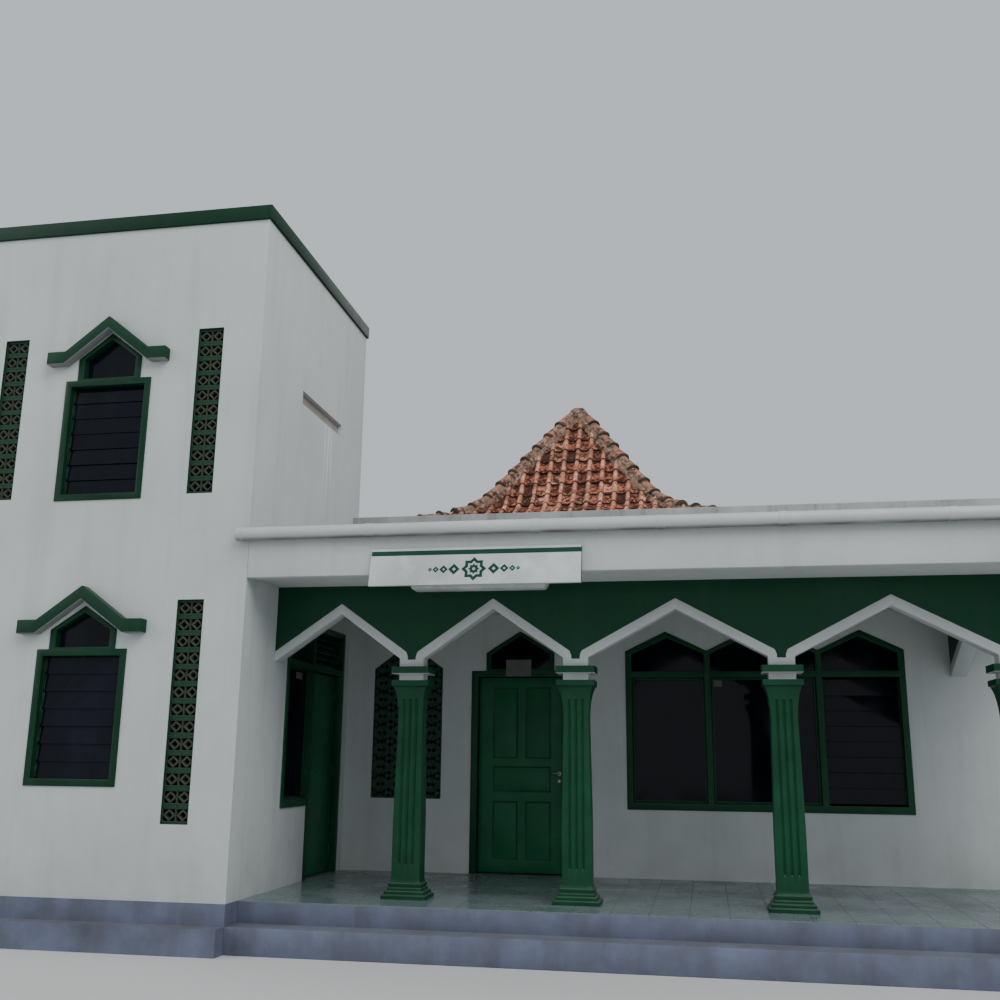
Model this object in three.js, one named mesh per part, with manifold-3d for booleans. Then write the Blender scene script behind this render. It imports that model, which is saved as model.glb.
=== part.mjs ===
// A small neighbourhood mosque: a two-storey wing, an arcaded veranda and a square prayer hall
// under a two-tier tiled roof. Millimetres, +Z up.
// While it is drawn, x runs along the front from the wing's side face, y runs into the building
// from the wing's front face, and z is measured from the finished floor. At the end the whole
// building is moved so that the origin is on the ground, under the middle of its plan.
import * as THREE from "three";
import { mergeVertices } from "three/addons/utils/BufferGeometryUtils.js";
import Module from "manifold-3d";

const wasm = await Module();
wasm.setup();

// Gap kept between pieces that touch, half of it on each piece
const SEAM = 0.3;
const HALF_SEAM = SEAM / 2;

// How far a cutter runs past the panel it cuts
const CUT_OVERRUN = 10;

// Ground, floors and storeys
const GROUND = -380;
const LEDGE_TOP = -170;
const UPPER_FLOOR_TOP = 2850;
const SLAB = 120;
const WALL = 130;
const STAIRWELL = { width: 900, front: 1200 };

// Wing
const WING_LEFT = -2940;
const WING_TOP = 5970;
const WING_PLINTH_PROUD = 150;
const FASCIA_HEIGHT = 140;
const FASCIA_PROUD = 25;

// Hall
const HALL_FRONT = 2817;
const HALL_SIZE = 9840;
const HALL_RIGHT = WING_LEFT + HALL_SIZE;
const HALL_REAR = HALL_FRONT + HALL_SIZE;
const PARAPET_TOP = 3750;
const BAND_BOTTOM = 3400;
const BAND_PROUD = 70;

// Hall roof: half widths and heights down the middle of a slope, from the eaves to the top
const EAVES = [HALL_SIZE / 2 - WALL, 3130];
const TIER_BREAK = [1700, 4462];
const FLARE = [[1560, 4525], [1430, 4590], [1250, 4735], [1100, 4930]];
const APEX = 6520;
const ROOF_SKIN = 90;
const HIP_RADIUS = 75;
const HIP_STEPS = 24;
const HIP_SET_IN = 130;
const CAP = { top: 65, bottom: 165, height: 200, centre: 6455 };

// Every column of tiles ends in a roll. The rolls run down the slopes and stop short of the hips.
const TILE_ROLL = { pitch: 195, shift: 59, width: 62, height: 38, overlap: 20, hipClear: 112 };

// Veranda
const VERANDA_RIGHT = HALL_RIGHT;
const FLOOR_FRONT = 235;
const CANOPY_BOTTOM = 2625;
const SOFFIT = 2650;
const CANOPY_TOP = 3010;
const CANOPY_BEAM = 150;
const GUTTER_RADIUS = 60;
const GUTTER_CENTRE = [-50, 2995];
const GUTTER_END = -90;

// Arcade: each bay has its own apex height, and the first apex stands a little nearer the wing
const COLUMN_XS = [1278, 2725, 4437, 6230];
const COLUMN_Y = 795;
const ARCADE_YS = [718, 860];
const BAND_YS = [712, 866];
const ARCH_TOPS = [2491, 2519, 2496, 2500];
const RETURN_ARCH_TOP = 2496;
const FIRST_APEX_SHIFT = -24;
const ARCH_WALL_END = 2066;
const ARCH_BAND = 92;
const NECK_HALF = 108;
const NECK_TOP = 1998;
const CAP_TOP = 1924;

// Green wedge over each neck: half width and height of its shoulder, waist and foot
const WEDGE = { shoulder: [52, 2056], waist: [36, 2016], foot: [36, 1987] };

// Columns are wider than they are deep, by the same amount at every level. The shaft draws in
// towards its head and then opens out in a long curve under the capital's edge
const COLUMN_LESS_DEPTH = 65;
const SHAFT_FOOT = [122.5, 160];
const SHAFT_MIDDLE = [122.5, 620];
const SHAFT_HEAD = [107.5, 1480];
const CAPITAL_CURVE = [[109.5, 1550], [115, 1610], [125, 1674], [138, 1722], [150, 1754]];
const BASE_RING = [144.5, 121];
const CAPITAL_HALF = 163;

// Wing windows: half widths of the light and of its pointed head, then the heights of each storey
const WING_CENTRE = WING_LEFT / 2;
const WINDOW_HALF = 422;
const HEAD_HALF = 312;
const LOWER_WINDOW = { sill: 885, transom: 2032, shoulder: 2200, apex: 2405 };
const UPPER_WINDOW = { sill: 3354, transom: 4490, shoulder: 4700, apex: 4937 };
const FRAME_BORDER = 58;
const FRAME_PROUD = 12;
const FRAME_DEPTH = 82;
const GLASS = 8;

// Hoods over the wing's front windows
const HOOD = { end: 588, knee: 410, thickness: 120, depth: 100 };
const LOWER_HOOD = { foot: 2160, rise: 294 };
const UPPER_HOOD = { foot: 4632, rise: 324 };

// Strips of pierced blocks beside the windows
const STRIP_INNER = 853;
const STRIP_WIDTH = 243;
const STRIP_DEPTH = 90;
const STRIP_SET_BACK = 20;
const LOWER_STRIP = { bottom: 598, top: 2447, rows: 13 };
const UPPER_STRIP = { bottom: 3383, top: 4930, rows: 11 };

// Shallow slot high in the wing's side face, closed at its back by a slab
const SLOT = { near: 1050, far: 2222, bottom: 4530, top: 4664, depth: 45, slab: 20 };

// Door and window group in the veranda's end wall
const UNIT = { near: 1030, mullion: 1690, far: 2640, sill: 690, transom: 1975, top: 2430 };
const UNIT_MEMBER = 60;
const UNIT_DEPTH = 100;
const LOUVRE_SHEET = 12;

// Doors: both leaves stand back from the face of the wall
const DOOR = { left: 1375, right: 2425, top: 2051, jamb: 68, headBottom: 1989 };
const FANLIGHT = { centre: 1894, half: 364, foot: 2071, shoulder: 2240, apex: 2466, border: 48 };
const FANLIGHT_SET_BACK = 40;
const LEAF_THICKNESS = 38;
const LEAF_SET_BACK = 60;
const LEAF_CLEAR = 8;
const LEAF_SILL_CLEAR = 14;

// Lever handle on a back plate, a little way in from the leaf's free edge
const HANDLE = {
  setIn: 60, height: 1000, plate: [44, 220, 6], plateDrop: 30,
  neck: 40, lever: 115, leverStart: 7, radius: 9,
};

// Pierced window and triple window in the hall's front wall
const PIERCED = { left: 297, right: 1056, bottom: 730, shoulder: 2080, apex: 2354 };
const PIERCED_GRID = { columns: 4, rows: 7 };
const TRIPLE = {
  left: 3000, right: 5765, firstMullion: 3834, secondMullion: 4936,
  bottom: 660, transom: 2008, shoulder: 2246, sideApex: 2447, middleApex: 2520,
};
const TRIPLE_MEMBER = 62;
const TRIPLE_SILL_MEMBER = 71;

// Sign board on the canopy, its foot leaning forward on wedges, and the light box behind its foot
const SIGN = {
  left: 1110, right: 2870, foot: [-100, 2517], head: [-26, 2838], back: [-1, 2832],
  thickness: 25, wedgeFoot: 2560, wedgeWidth: 30, wedges: [1300, 2680],
};
const LIGHT_BOX = { left: 1380, right: 2560, front: 160, back: 360, bottom: 2520 };

const paint = (color, roughness = 0.75, metalness = 0) =>
  new THREE.MeshStandardMaterial({ color, roughness, metalness });
const WHITE = 0xdfe3e3;
const GREEN = 0x14563a;
const DARK_GLASS = 0x1c2226;
const TERRACOTTA = 0xa8573a;
const PLINTH_GREY = 0x5c6675;
const FLOOR_GREY = 0x8b989c;
const CONCRETE = 0xb4bab8;

const building = new THREE.Group();
const wing = new THREE.Group();
const hall = new THREE.Group();
const veranda = new THREE.Group();
building.add(wing, hall, veranda);

function addMesh(parent, name, geometry, color, roughness) {
  const mesh = new THREE.Mesh(geometry, paint(color, roughness));
  mesh.name = name;
  parent.add(mesh);
  return mesh;
}

// A box between two corners, less half a seam on every side
function boxBetween([x0, x1], [y0, y1], [z0, z1]) {
  const box = new THREE.BoxGeometry(x1 - x0 - SEAM, y1 - y0 - SEAM, z1 - z0 - SEAM);
  return box.translate((x0 + x1) / 2, (y0 + y1) / 2, (z0 + z1) / 2);
}

function addBlock(parent, name, xs, ys, zs, color, roughness) {
  return addMesh(parent, name, boxBetween(xs, ys, zs), color, roughness);
}

// An outline in two coordinates with the outlines of its holes
function shapeFrom(points, holes = []) {
  return { points, holes };
}

function extrudeOutline(points, depth) {
  const shape = new THREE.Shape(points.map(([a, b]) => new THREE.Vector2(a, b)));
  return new THREE.ExtrudeGeometry(shape, { depth, bevelEnabled: false });
}

// Holes are cut right through as prisms, so that panels with many aligned holes stay closed
function extrude({ points, holes }, depth) {
  if (holes.length === 0) {
    return extrudeOutline(points, depth);
  }
  const cutters = holes.map((hole) => {
    return toSolid(extrudeOutline(hole, depth + 2 * CUT_OVERRUN).translate(0, 0, -CUT_OVERRUN));
  });
  const solid = cutters.reduce((rest, cutter) => rest.subtract(cutter),
    toSolid(extrudeOutline(points, depth)));
  return toGeometry(solid);
}

// A panel drawn in x and z, standing between two values of y
function addFrontPanel(parent, name, shape, [front, back], color, roughness) {
  const mesh = addMesh(parent, name, extrude(shape, back - front - SEAM), color, roughness);
  mesh.rotation.x = Math.PI / 2;
  mesh.position.y = back - HALF_SEAM;
  return mesh;
}

// A panel drawn in y and z, standing between two values of x
function addSidePanel(parent, name, shape, [left, right], color, roughness) {
  const mesh = addMesh(parent, name, extrude(shape, right - left - SEAM), color, roughness);
  mesh.quaternion.set(0.5, 0.5, 0.5, 0.5);
  mesh.position.x = left + HALF_SEAM;
  return mesh;
}

// A plate drawn in x and y, lying between two heights
function addPlate(parent, name, shape, [bottom, top], color, roughness) {
  const mesh = addMesh(parent, name, extrude(shape, top - bottom - SEAM), color, roughness);
  mesh.position.z = bottom + HALF_SEAM;
  return mesh;
}

function rectangle(a0, a1, b0, b1, inset = HALF_SEAM) {
  return [
    [a0 + inset, b0 + inset],
    [a1 - inset, b0 + inset],
    [a1 - inset, b1 - inset],
    [a0 + inset, b1 - inset],
  ];
}

function toSolid(geometry) {
  const bare = geometry.clone();
  bare.deleteAttribute("normal");
  bare.deleteAttribute("uv");
  const merged = mergeVertices(bare, 1e-3);
  return new wasm.Manifold(new wasm.Mesh({
    numProp: 3,
    vertProperties: new Float32Array(merged.attributes.position.array),
    triVerts: new Uint32Array(merged.index.array),
  }));
}

function toGeometry(solid) {
  const mesh = solid.getMesh();
  const geometry = new THREE.BufferGeometry();
  geometry.setAttribute("position", new THREE.BufferAttribute(mesh.vertProperties, 3));
  geometry.setIndex(new THREE.BufferAttribute(mesh.triVerts, 1));
  geometry.computeVertexNormals();
  return geometry;
}

function fuse(geometries) {
  return toGeometry(geometries.map(toSolid).reduce((sum, next) => sum.add(next)));
}

// Outline of a window with a rectangular light under a narrower pointed head
function pointedOutline(centre, { sill, transom, shoulder, apex }, grow = 0) {
  const wide = WINDOW_HALF + grow;
  const narrow = HEAD_HALF + grow;
  return [
    [centre - wide, sill - grow], [centre + wide, sill - grow],
    [centre + wide, transom + grow], [centre + narrow, transom + grow],
    [centre + narrow, shoulder + grow], [centre, apex + grow],
    [centre - narrow, shoulder + grow], [centre - narrow, transom + grow],
    [centre - wide, transom + grow],
  ];
}

function pointedLights(centre, { sill, transom, shoulder, apex }) {
  const wide = WINDOW_HALF - FRAME_BORDER;
  const narrow = HEAD_HALF - FRAME_BORDER;
  return [
    rectangle(centre - wide, centre + wide, sill + FRAME_BORDER, transom - FRAME_BORDER, 0),
    [
      [centre - narrow, transom + 15], [centre + narrow, transom + 15],
      [centre + narrow, shoulder - 5], [centre, apex - FRAME_BORDER],
      [centre - narrow, shoulder - 5],
    ],
  ];
}

// Outline of the three-light window, each light under its own point
function tripleOutline(shift = 0, grow = 0) {
  const { left, right, firstMullion, secondMullion } = TRIPLE;
  const middle = (firstMullion + secondMullion) / 2;
  return [
    [left - grow, TRIPLE.bottom - grow], [right + grow, TRIPLE.bottom - grow],
    [right + grow, TRIPLE.shoulder + grow],
    [(secondMullion + right) / 2, TRIPLE.sideApex + grow],
    [secondMullion, TRIPLE.shoulder + grow], [middle, TRIPLE.middleApex + grow],
    [firstMullion, TRIPLE.shoulder + grow],
    [(left + firstMullion) / 2, TRIPLE.sideApex + grow],
    [left - grow, TRIPLE.shoulder + grow],
  ].map(([a, b]) => [a + shift, b]);
}

function tripleLights(shift = 0) {
  const edge = TRIPLE_MEMBER;
  const half = TRIPLE_MEMBER / 2;
  const spans = [
    [TRIPLE.left + edge, TRIPLE.firstMullion - half, TRIPLE.sideApex],
    [TRIPLE.firstMullion + half, TRIPLE.secondMullion - half, TRIPLE.middleApex],
    [TRIPLE.secondMullion + half, TRIPLE.right - edge, TRIPLE.sideApex],
  ];
  return spans.flatMap(([a0, a1, apex]) => [
    rectangle(a0 + shift, a1 + shift, TRIPLE.bottom + TRIPLE_SILL_MEMBER, TRIPLE.transom - half, 0),
    [
      [a0 + shift, TRIPLE.transom + half], [a1 + shift, TRIPLE.transom + half],
      [a1 + shift, TRIPLE.shoulder - half], [(a0 + a1) / 2 + shift, apex - edge],
      [a0 + shift, TRIPLE.shoulder - half],
    ],
  ]);
}

// Four-sided spire or ring about the vertical: half widths and heights become a square plan, which
// is then made less deep by the same amount at every level
function squareLathe(profile, lessDepth = 0) {
  const points = profile.map(([half, height]) => new THREE.Vector2(half * Math.SQRT2, height));
  const lathe = new THREE.LatheGeometry(points, 4).rotateY(Math.PI / 4).rotateX(Math.PI / 2);
  const position = lathe.getAttribute("position");
  for (let i = 0; i < position.count; i += 1) {
    const y = position.getY(i);
    if (Math.abs(y) > lessDepth) {
      position.setY(i, y - Math.sign(y) * lessDepth / 2);
    }
  }
  return lathe;
}

// Hollow quarter round in a profile, upright where it leaves its foot and level at its head
function cove([footHalf, footZ], [headHalf, headZ], steps = 4) {
  const points = [];
  for (let i = 0; i <= steps; i += 1) {
    const angle = (i / steps) * Math.PI / 2;
    points.push([
      footHalf + (headHalf - footHalf) * (1 - Math.cos(angle)),
      footZ + (headZ - footZ) * Math.sin(angle),
    ]);
  }
  return points;
}

// Plate, neck and lever of a door handle, standing towards -y, with the lever towards +x or -x
function handleParts(side) {
  const [width, height, thickness] = HANDLE.plate;
  const neckLength = HANDLE.neck + thickness;
  const plate = new THREE.BoxGeometry(width, thickness + 2, height);
  const neck = new THREE.CylinderGeometry(HANDLE.radius, HANDLE.radius, neckLength, 12);
  const lever = new THREE.CylinderGeometry(HANDLE.radius, HANDLE.radius, HANDLE.lever, 12);
  const leverX = side * (HANDLE.lever / 2 - HANDLE.leverStart);
  return [
    plate.translate(0, 1 - thickness / 2, -HANDLE.plateDrop),
    neck.translate(0, 2 - neckLength / 2, 0),
    lever.rotateZ(Math.PI / 2).translate(leverX, -HANDLE.neck + 4, 0),
  ];
}

// The wing
const wingXs = [WING_LEFT, 0];
const wingFoot = [
  [-WING_PLINTH_PROUD, GROUND], [HALL_FRONT - SEAM, GROUND], [HALL_FRONT - SEAM, -SEAM],
  [0, -SEAM], [0, LEDGE_TOP], [-WING_PLINTH_PROUD, LEDGE_TOP],
];
addSidePanel(wing, "wing_base", shapeFrom(wingFoot), wingXs, PLINTH_GREY);

const stripLeft = WING_CENTRE - STRIP_INNER - STRIP_WIDTH;
const stripRight = WING_CENTRE + STRIP_INNER;
const stripSpans = { left: stripLeft, right: stripRight };
const frontHoles = [pointedOutline(WING_CENTRE, LOWER_WINDOW), pointedOutline(WING_CENTRE, UPPER_WINDOW)];
for (const start of Object.values(stripSpans)) {
  for (const strip of [LOWER_STRIP, UPPER_STRIP]) {
    frontHoles.push(rectangle(start, start + STRIP_WIDTH, strip.bottom, strip.top, 0));
  }
}
const wingFrontShape = shapeFrom(rectangle(WING_LEFT, 0, 0, WING_TOP), frontHoles);
addFrontPanel(wing, "wing_front_wall", wingFrontShape, [0, WALL], WHITE);

const wingSideYs = [WALL, HALL_FRONT];
addBlock(wing, "wing_left_wall", [WING_LEFT, WING_LEFT + WALL], wingSideYs, [0, WING_TOP], WHITE);

const rearTop = [PARAPET_TOP, WING_TOP];
const hallFrontYs = [HALL_FRONT, HALL_FRONT + WALL];
addBlock(wing, "wing_rear_wall", wingXs, hallFrontYs, rearTop, WHITE);

const sideWallXs = [-WALL, 0];
const nearPanel = [
  [WALL + SEAM, HALF_SEAM], [UNIT.mullion - SEAM, HALF_SEAM],
  [UNIT.mullion - SEAM, UNIT.sill - SEAM], [UNIT.near - SEAM, UNIT.sill - SEAM],
  [UNIT.near - SEAM, UNIT.top - HALF_SEAM], [WALL + SEAM, UNIT.top - HALF_SEAM],
];
addSidePanel(wing, "wing_side_wall_near", shapeFrom(nearPanel), sideWallXs, WHITE);
addBlock(wing, "wing_side_wall_far", sideWallXs, [UNIT.far, HALL_FRONT], [0, UNIT.top], WHITE);
const upperSideWall = toSolid(boxBetween(sideWallXs, wingSideYs, [UNIT.top, WING_TOP]));
const slotBack = -SLOT.depth - SLOT.slab;
const slot = toSolid(boxBetween([slotBack - SEAM, CUT_OVERRUN], [SLOT.near - SEAM, SLOT.far + SEAM],
  [SLOT.bottom - SEAM, SLOT.top + SEAM]));
addMesh(wing, "wing_side_wall_upper", toGeometry(upperSideWall.subtract(slot)), WHITE);
addBlock(wing, "side_slot_slab", [slotBack, -SLOT.depth], [SLOT.near, SLOT.far],
  [SLOT.bottom, SLOT.top], CONCRETE);

// The upper floor leaves a stairwell free in the rear left corner
const roomLeft = WING_LEFT + WALL + HALF_SEAM;
const floorPlan = [
  [roomLeft, WALL + SEAM], [-WALL - SEAM, WALL + SEAM], [-WALL - SEAM, HALL_FRONT - SEAM],
  [roomLeft + STAIRWELL.width, HALL_FRONT - SEAM], [roomLeft + STAIRWELL.width, STAIRWELL.front],
  [roomLeft, STAIRWELL.front],
];
addPlate(wing, "wing_upper_floor", shapeFrom(floorPlan),
  [UPPER_FLOOR_TOP - SLAB, UPPER_FLOOR_TOP], CONCRETE);
const roofYs = [0, HALL_FRONT + WALL];
const roofPlan = shapeFrom(rectangle(WING_LEFT, 0, roofYs[0], roofYs[1], -FASCIA_PROUD));
addPlate(wing, "wing_roof", roofPlan, [WING_TOP, WING_TOP + FASCIA_HEIGHT], GREEN);

function addPointedWindow(parent, name, window) {
  const outline = pointedOutline(WING_CENTRE, window, -SEAM);
  const frame = shapeFrom(outline, pointedLights(WING_CENTRE, window));
  addFrontPanel(parent, `${name}_frame`, frame, [-FRAME_PROUD, FRAME_DEPTH], GREEN);
  const pane = shapeFrom(pointedOutline(WING_CENTRE, window, -FRAME_BORDER / 2));
  addFrontPanel(parent, `${name}_glass`, pane, [FRAME_DEPTH, FRAME_DEPTH + GLASS], DARK_GLASS, 0.2);
}
addPointedWindow(wing, "lower_window", LOWER_WINDOW);
addPointedWindow(wing, "upper_window", UPPER_WINDOW);

function addHood(name, { foot, rise }) {
  const top = foot + HOOD.thickness;
  const hood = [
    [-HOOD.end, foot], [-HOOD.knee, foot], [0, foot + rise], [HOOD.knee, foot],
    [HOOD.end, foot], [HOOD.end, top], [HOOD.knee, top], [0, top + rise],
    [-HOOD.knee, top], [-HOOD.end, top],
  ].map(([a, b]) => [a + WING_CENTRE, b]);
  addFrontPanel(wing, name, shapeFrom(hood), [-HOOD.depth, 0], GREEN);
}
addHood("lower_window_hood", LOWER_HOOD);
addHood("upper_window_hood", UPPER_HOOD);

// A diamond opening in the middle of each block of a pierced panel
function diamond(x, z, halfWidth, halfHeight) {
  return [[x - halfWidth, z], [x, z - halfHeight], [x + halfWidth, z], [x, z + halfHeight]];
}

function addStrip(name, start, { bottom, top, rows }) {
  const cellWidth = STRIP_WIDTH / 2;
  const cellHeight = (top - bottom) / rows;
  const holes = [];
  for (let row = 0; row < rows; row += 1) {
    for (const column of [0.5, 1.5]) {
      const x = start + column * cellWidth;
      holes.push(diamond(x, bottom + (row + 0.5) * cellHeight, 0.36 * cellWidth, 0.36 * cellHeight));
    }
  }
  const panel = shapeFrom(rectangle(start, start + STRIP_WIDTH, bottom, top, SEAM), holes);
  addFrontPanel(wing, name, panel, [STRIP_SET_BACK, STRIP_SET_BACK + STRIP_DEPTH], GREEN);
}
for (const [side, start] of Object.entries(stripSpans)) {
  addStrip(`lower_vent_strip_${side}`, start, LOWER_STRIP);
  addStrip(`upper_vent_strip_${side}`, start, UPPER_STRIP);
}

// Windows with closed louvres in a wall seen from outside only
function addClosedSideWindow(parent, name, outline, lights, [left, right]) {
  const frame = extrude(shapeFrom(outline, lights), right - left - SEAM);
  const sheet = extrude(shapeFrom(outline), GLASS).translate(0, 0, (right - left) / 2);
  const mesh = addMesh(parent, name, fuse([frame, sheet]), GREEN);
  mesh.quaternion.set(0.5, 0.5, 0.5, 0.5);
  mesh.position.x = left + HALF_SEAM;
}

// Door and window group in the veranda's end wall
const unitOutline = [
  [UNIT.near, UNIT.sill], [UNIT.mullion, UNIT.sill], [UNIT.mullion, SEAM],
  [UNIT.mullion + UNIT_MEMBER, SEAM], [UNIT.mullion + UNIT_MEMBER, UNIT.transom],
  [UNIT.far - UNIT_MEMBER, UNIT.transom], [UNIT.far - UNIT_MEMBER, SEAM],
  [UNIT.far - SEAM, SEAM], [UNIT.far - SEAM, UNIT.top - SEAM], [UNIT.near, UNIT.top - SEAM],
];
const overTransom = UNIT.transom + UNIT_MEMBER;
const underTop = UNIT.top - UNIT_MEMBER;
const unitWindow = [UNIT.near + UNIT_MEMBER, UNIT.mullion];
const unitDoor = [UNIT.mullion + UNIT_MEMBER, UNIT.far - UNIT_MEMBER];
const unitHoles = [
  rectangle(unitWindow[0], unitWindow[1], UNIT.sill + UNIT_MEMBER, UNIT.transom, 0),
  rectangle(unitWindow[0], unitWindow[1], overTransom, underTop, 0),
  rectangle(unitDoor[0], unitDoor[1], overTransom, underTop, 0),
];
const unitXs = [-UNIT_DEPTH, FRAME_PROUD];
addSidePanel(wing, "side_door_frame", shapeFrom(unitOutline, unitHoles), unitXs, GREEN);
const unitPane = rectangle(unitWindow[0], unitWindow[1], UNIT.sill + UNIT_MEMBER, UNIT.transom, SEAM);
addSidePanel(wing, "side_window_glass", shapeFrom(unitPane),
  [-LEAF_SET_BACK, -LEAF_SET_BACK + GLASS], DARK_GLASS, 0.2);
const rebate = UNIT_MEMBER / 2;
const louvreBack = rectangle(UNIT.near, UNIT.far, overTransom - UNIT_MEMBER, UNIT.top, rebate);
addSidePanel(wing, "side_louvre_panel", shapeFrom(louvreBack),
  [unitXs[0] - LOUVRE_SHEET, unitXs[0]], GREEN);
const sideLeafYs = [unitDoor[0] + LEAF_CLEAR, unitDoor[1] - LEAF_CLEAR];
const leafZs = [LEAF_SILL_CLEAR, UNIT.transom - LEAF_CLEAR];
const sideLeafXs = [-LEAF_THICKNESS - LEAF_SET_BACK, -LEAF_SET_BACK];
const sideLeaf = boxBetween(sideLeafXs, sideLeafYs, leafZs);
const sideHandle = handleParts(1).map((piece) => {
  return piece.rotateZ(Math.PI / 2)
    .translate(-LEAF_SET_BACK, sideLeafYs[0] + HANDLE.setIn, HANDLE.height);
});
addMesh(wing, "side_door", fuse([sideLeaf, ...sideHandle]), GREEN);

// The hall
addBlock(hall, "hall_base", [WING_LEFT, HALL_RIGHT], [HALL_FRONT, HALL_REAR],
  [GROUND - HALF_SEAM, 0], PLINTH_GREY);
const piercedCentre = (PIERCED.left + PIERCED.right) / 2;
const piercedOutline = (grow) => [
  [PIERCED.left - grow, PIERCED.bottom - grow], [PIERCED.right + grow, PIERCED.bottom - grow],
  [PIERCED.right + grow, PIERCED.shoulder + grow], [piercedCentre, PIERCED.apex + grow],
  [PIERCED.left - grow, PIERCED.shoulder + grow],
];
const frontLeftShape = shapeFrom(
  rectangle(WING_LEFT, DOOR.left, 0, PARAPET_TOP), [piercedOutline(0)],
);
addFrontPanel(hall, "hall_front_wall_left", frontLeftShape, hallFrontYs, WHITE);

const fanOutline = (grow) => [
  [FANLIGHT.centre + FANLIGHT.half + grow, FANLIGHT.shoulder + grow],
  [FANLIGHT.centre, FANLIGHT.apex + grow],
  [FANLIGHT.centre - FANLIGHT.half - grow, FANLIGHT.shoulder + grow],
];
const overDoor = [
  [DOOR.left + HALF_SEAM, DOOR.top + HALF_SEAM],
  [FANLIGHT.centre - FANLIGHT.half, DOOR.top + HALF_SEAM],
  ...fanOutline(0).reverse(),
  [FANLIGHT.centre + FANLIGHT.half, DOOR.top + HALF_SEAM],
  [DOOR.right - HALF_SEAM, DOOR.top + HALF_SEAM],
  [DOOR.right - HALF_SEAM, PARAPET_TOP - HALF_SEAM],
  [DOOR.left + HALF_SEAM, PARAPET_TOP - HALF_SEAM],
];
addFrontPanel(hall, "hall_front_wall_over_door", shapeFrom(overDoor), hallFrontYs, WHITE);
const frontRightShape = shapeFrom(
  rectangle(DOOR.right, HALL_RIGHT, 0, PARAPET_TOP), [tripleOutline()],
);
addFrontPanel(hall, "hall_front_wall_right", frontRightShape, hallFrontYs, WHITE);

const hallSideYs = [HALL_FRONT + WALL, HALL_REAR];
const sideShift = (hallSideYs[0] + hallSideYs[1]) / 2 - (TRIPLE.left + TRIPLE.right) / 2;
const hallSideShape = shapeFrom(
  rectangle(...hallSideYs, 0, PARAPET_TOP), [tripleOutline(sideShift)],
);
const hallLeftXs = [WING_LEFT, WING_LEFT + WALL];
const hallRightXs = [HALL_RIGHT - WALL, HALL_RIGHT];
addSidePanel(hall, "hall_left_wall", hallSideShape, hallLeftXs, WHITE);
addSidePanel(hall, "hall_right_wall", hallSideShape, hallRightXs, WHITE);
addBlock(hall, "hall_rear_wall", [hallLeftXs[1], hallRightXs[0]],
  [HALL_REAR - WALL, HALL_REAR], [0, PARAPET_TOP], WHITE);
const sideWindow = [tripleOutline(sideShift, -SEAM), tripleLights(sideShift)];
addClosedSideWindow(hall, "hall_left_window", ...sideWindow,
  [WING_LEFT, WING_LEFT + FRAME_DEPTH]);
addClosedSideWindow(hall, "hall_right_window", ...sideWindow,
  [HALL_RIGHT - FRAME_DEPTH, HALL_RIGHT]);
addBlock(hall, "hall_parapet_band", [0, HALL_RIGHT], [HALL_FRONT - BAND_PROUD, HALL_FRONT],
  [BAND_BOTTOM, PARAPET_TOP], CONCRETE);

// A line of half widths and heights that climbs inwards, moved square off its own slope
function offsetLine(line, distance) {
  return line.map(([half, height], i) => {
    const [lowerHalf, lowerHeight] = line[Math.max(i - 1, 0)];
    const [upperHalf, upperHeight] = line[Math.min(i + 1, line.length - 1)];
    const run = lowerHalf - upperHalf;
    const climb = upperHeight - lowerHeight;
    const length = Math.hypot(run, climb);
    return [half + distance * climb / length, height + distance * run / length];
  });
}

// A tier of the roof with the rolls of its tiles. The line climbs up the middle of a slope.
function addTileRolls(tier, line) {
  const { pitch, shift, width, height, overlap, hipClear } = TILE_ROLL;
  const outer = line[0][0];
  const inner = line.at(-1)[0];
  const sunk = line.map(([half, z]) => [half, z - overlap]).reverse();
  const proud = offsetLine(line, height);
  const layer = toSolid(squareLathe([...proud, ...sunk, proud[0]]));
  const top = line.at(-1)[1] + 2 * height;
  const depth = top - line[0][1] + 2 * height;
  const strips = [];
  for (let turn = 0; turn < 4; turn += 1) {
    for (let x = shift - pitch * Math.ceil(outer / pitch); x < outer; x += pitch) {
      const near = Math.max(inner, Math.abs(x) + width / 2 + hipClear);
      if (near < outer - width) {
        const strip = new THREE.BoxGeometry(width, outer - near, depth);
        strip.translate(x, -(outer + near) / 2, top - depth / 2).rotateZ(turn * Math.PI / 2);
        strips.push(toSolid(strip));
      }
    }
  }
  return toGeometry(toSolid(tier).add(layer.intersect(wasm.Manifold.union(strips))));
}

// Hall roof: a low skirt and a steep spire with a flared foot, both open underneath
const roofX = (WING_LEFT + HALL_RIGHT) / 2;
const roofY = (HALL_FRONT + HALL_REAR) / 2;
const atRoof = (mesh) => mesh.position.set(roofX, roofY, 0);
const skirtOuter = [[EAVES[0] - SEAM, EAVES[1]], [TIER_BREAK[0] + SEAM, TIER_BREAK[1]]];
const skirtInner = skirtOuter.map(([half, height]) => [half, height - ROOF_SKIN]).reverse();
const skirt = squareLathe([...skirtOuter, ...skirtInner, skirtOuter[0]]);
atRoof(addMesh(hall, "hall_roof_lower", addTileRolls(skirt, skirtOuter), TERRACOTTA));
const spireOuter = [TIER_BREAK, ...FLARE, [0, APEX]];
const spireInner = spireOuter.map(([half, height]) => [half, height - ROOF_SKIN]).reverse();
const spire = squareLathe([...spireOuter, ...spireInner, TIER_BREAK]);
atRoof(addMesh(hall, "hall_roof_upper", addTileRolls(spire, spireOuter), TERRACOTTA));

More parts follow.
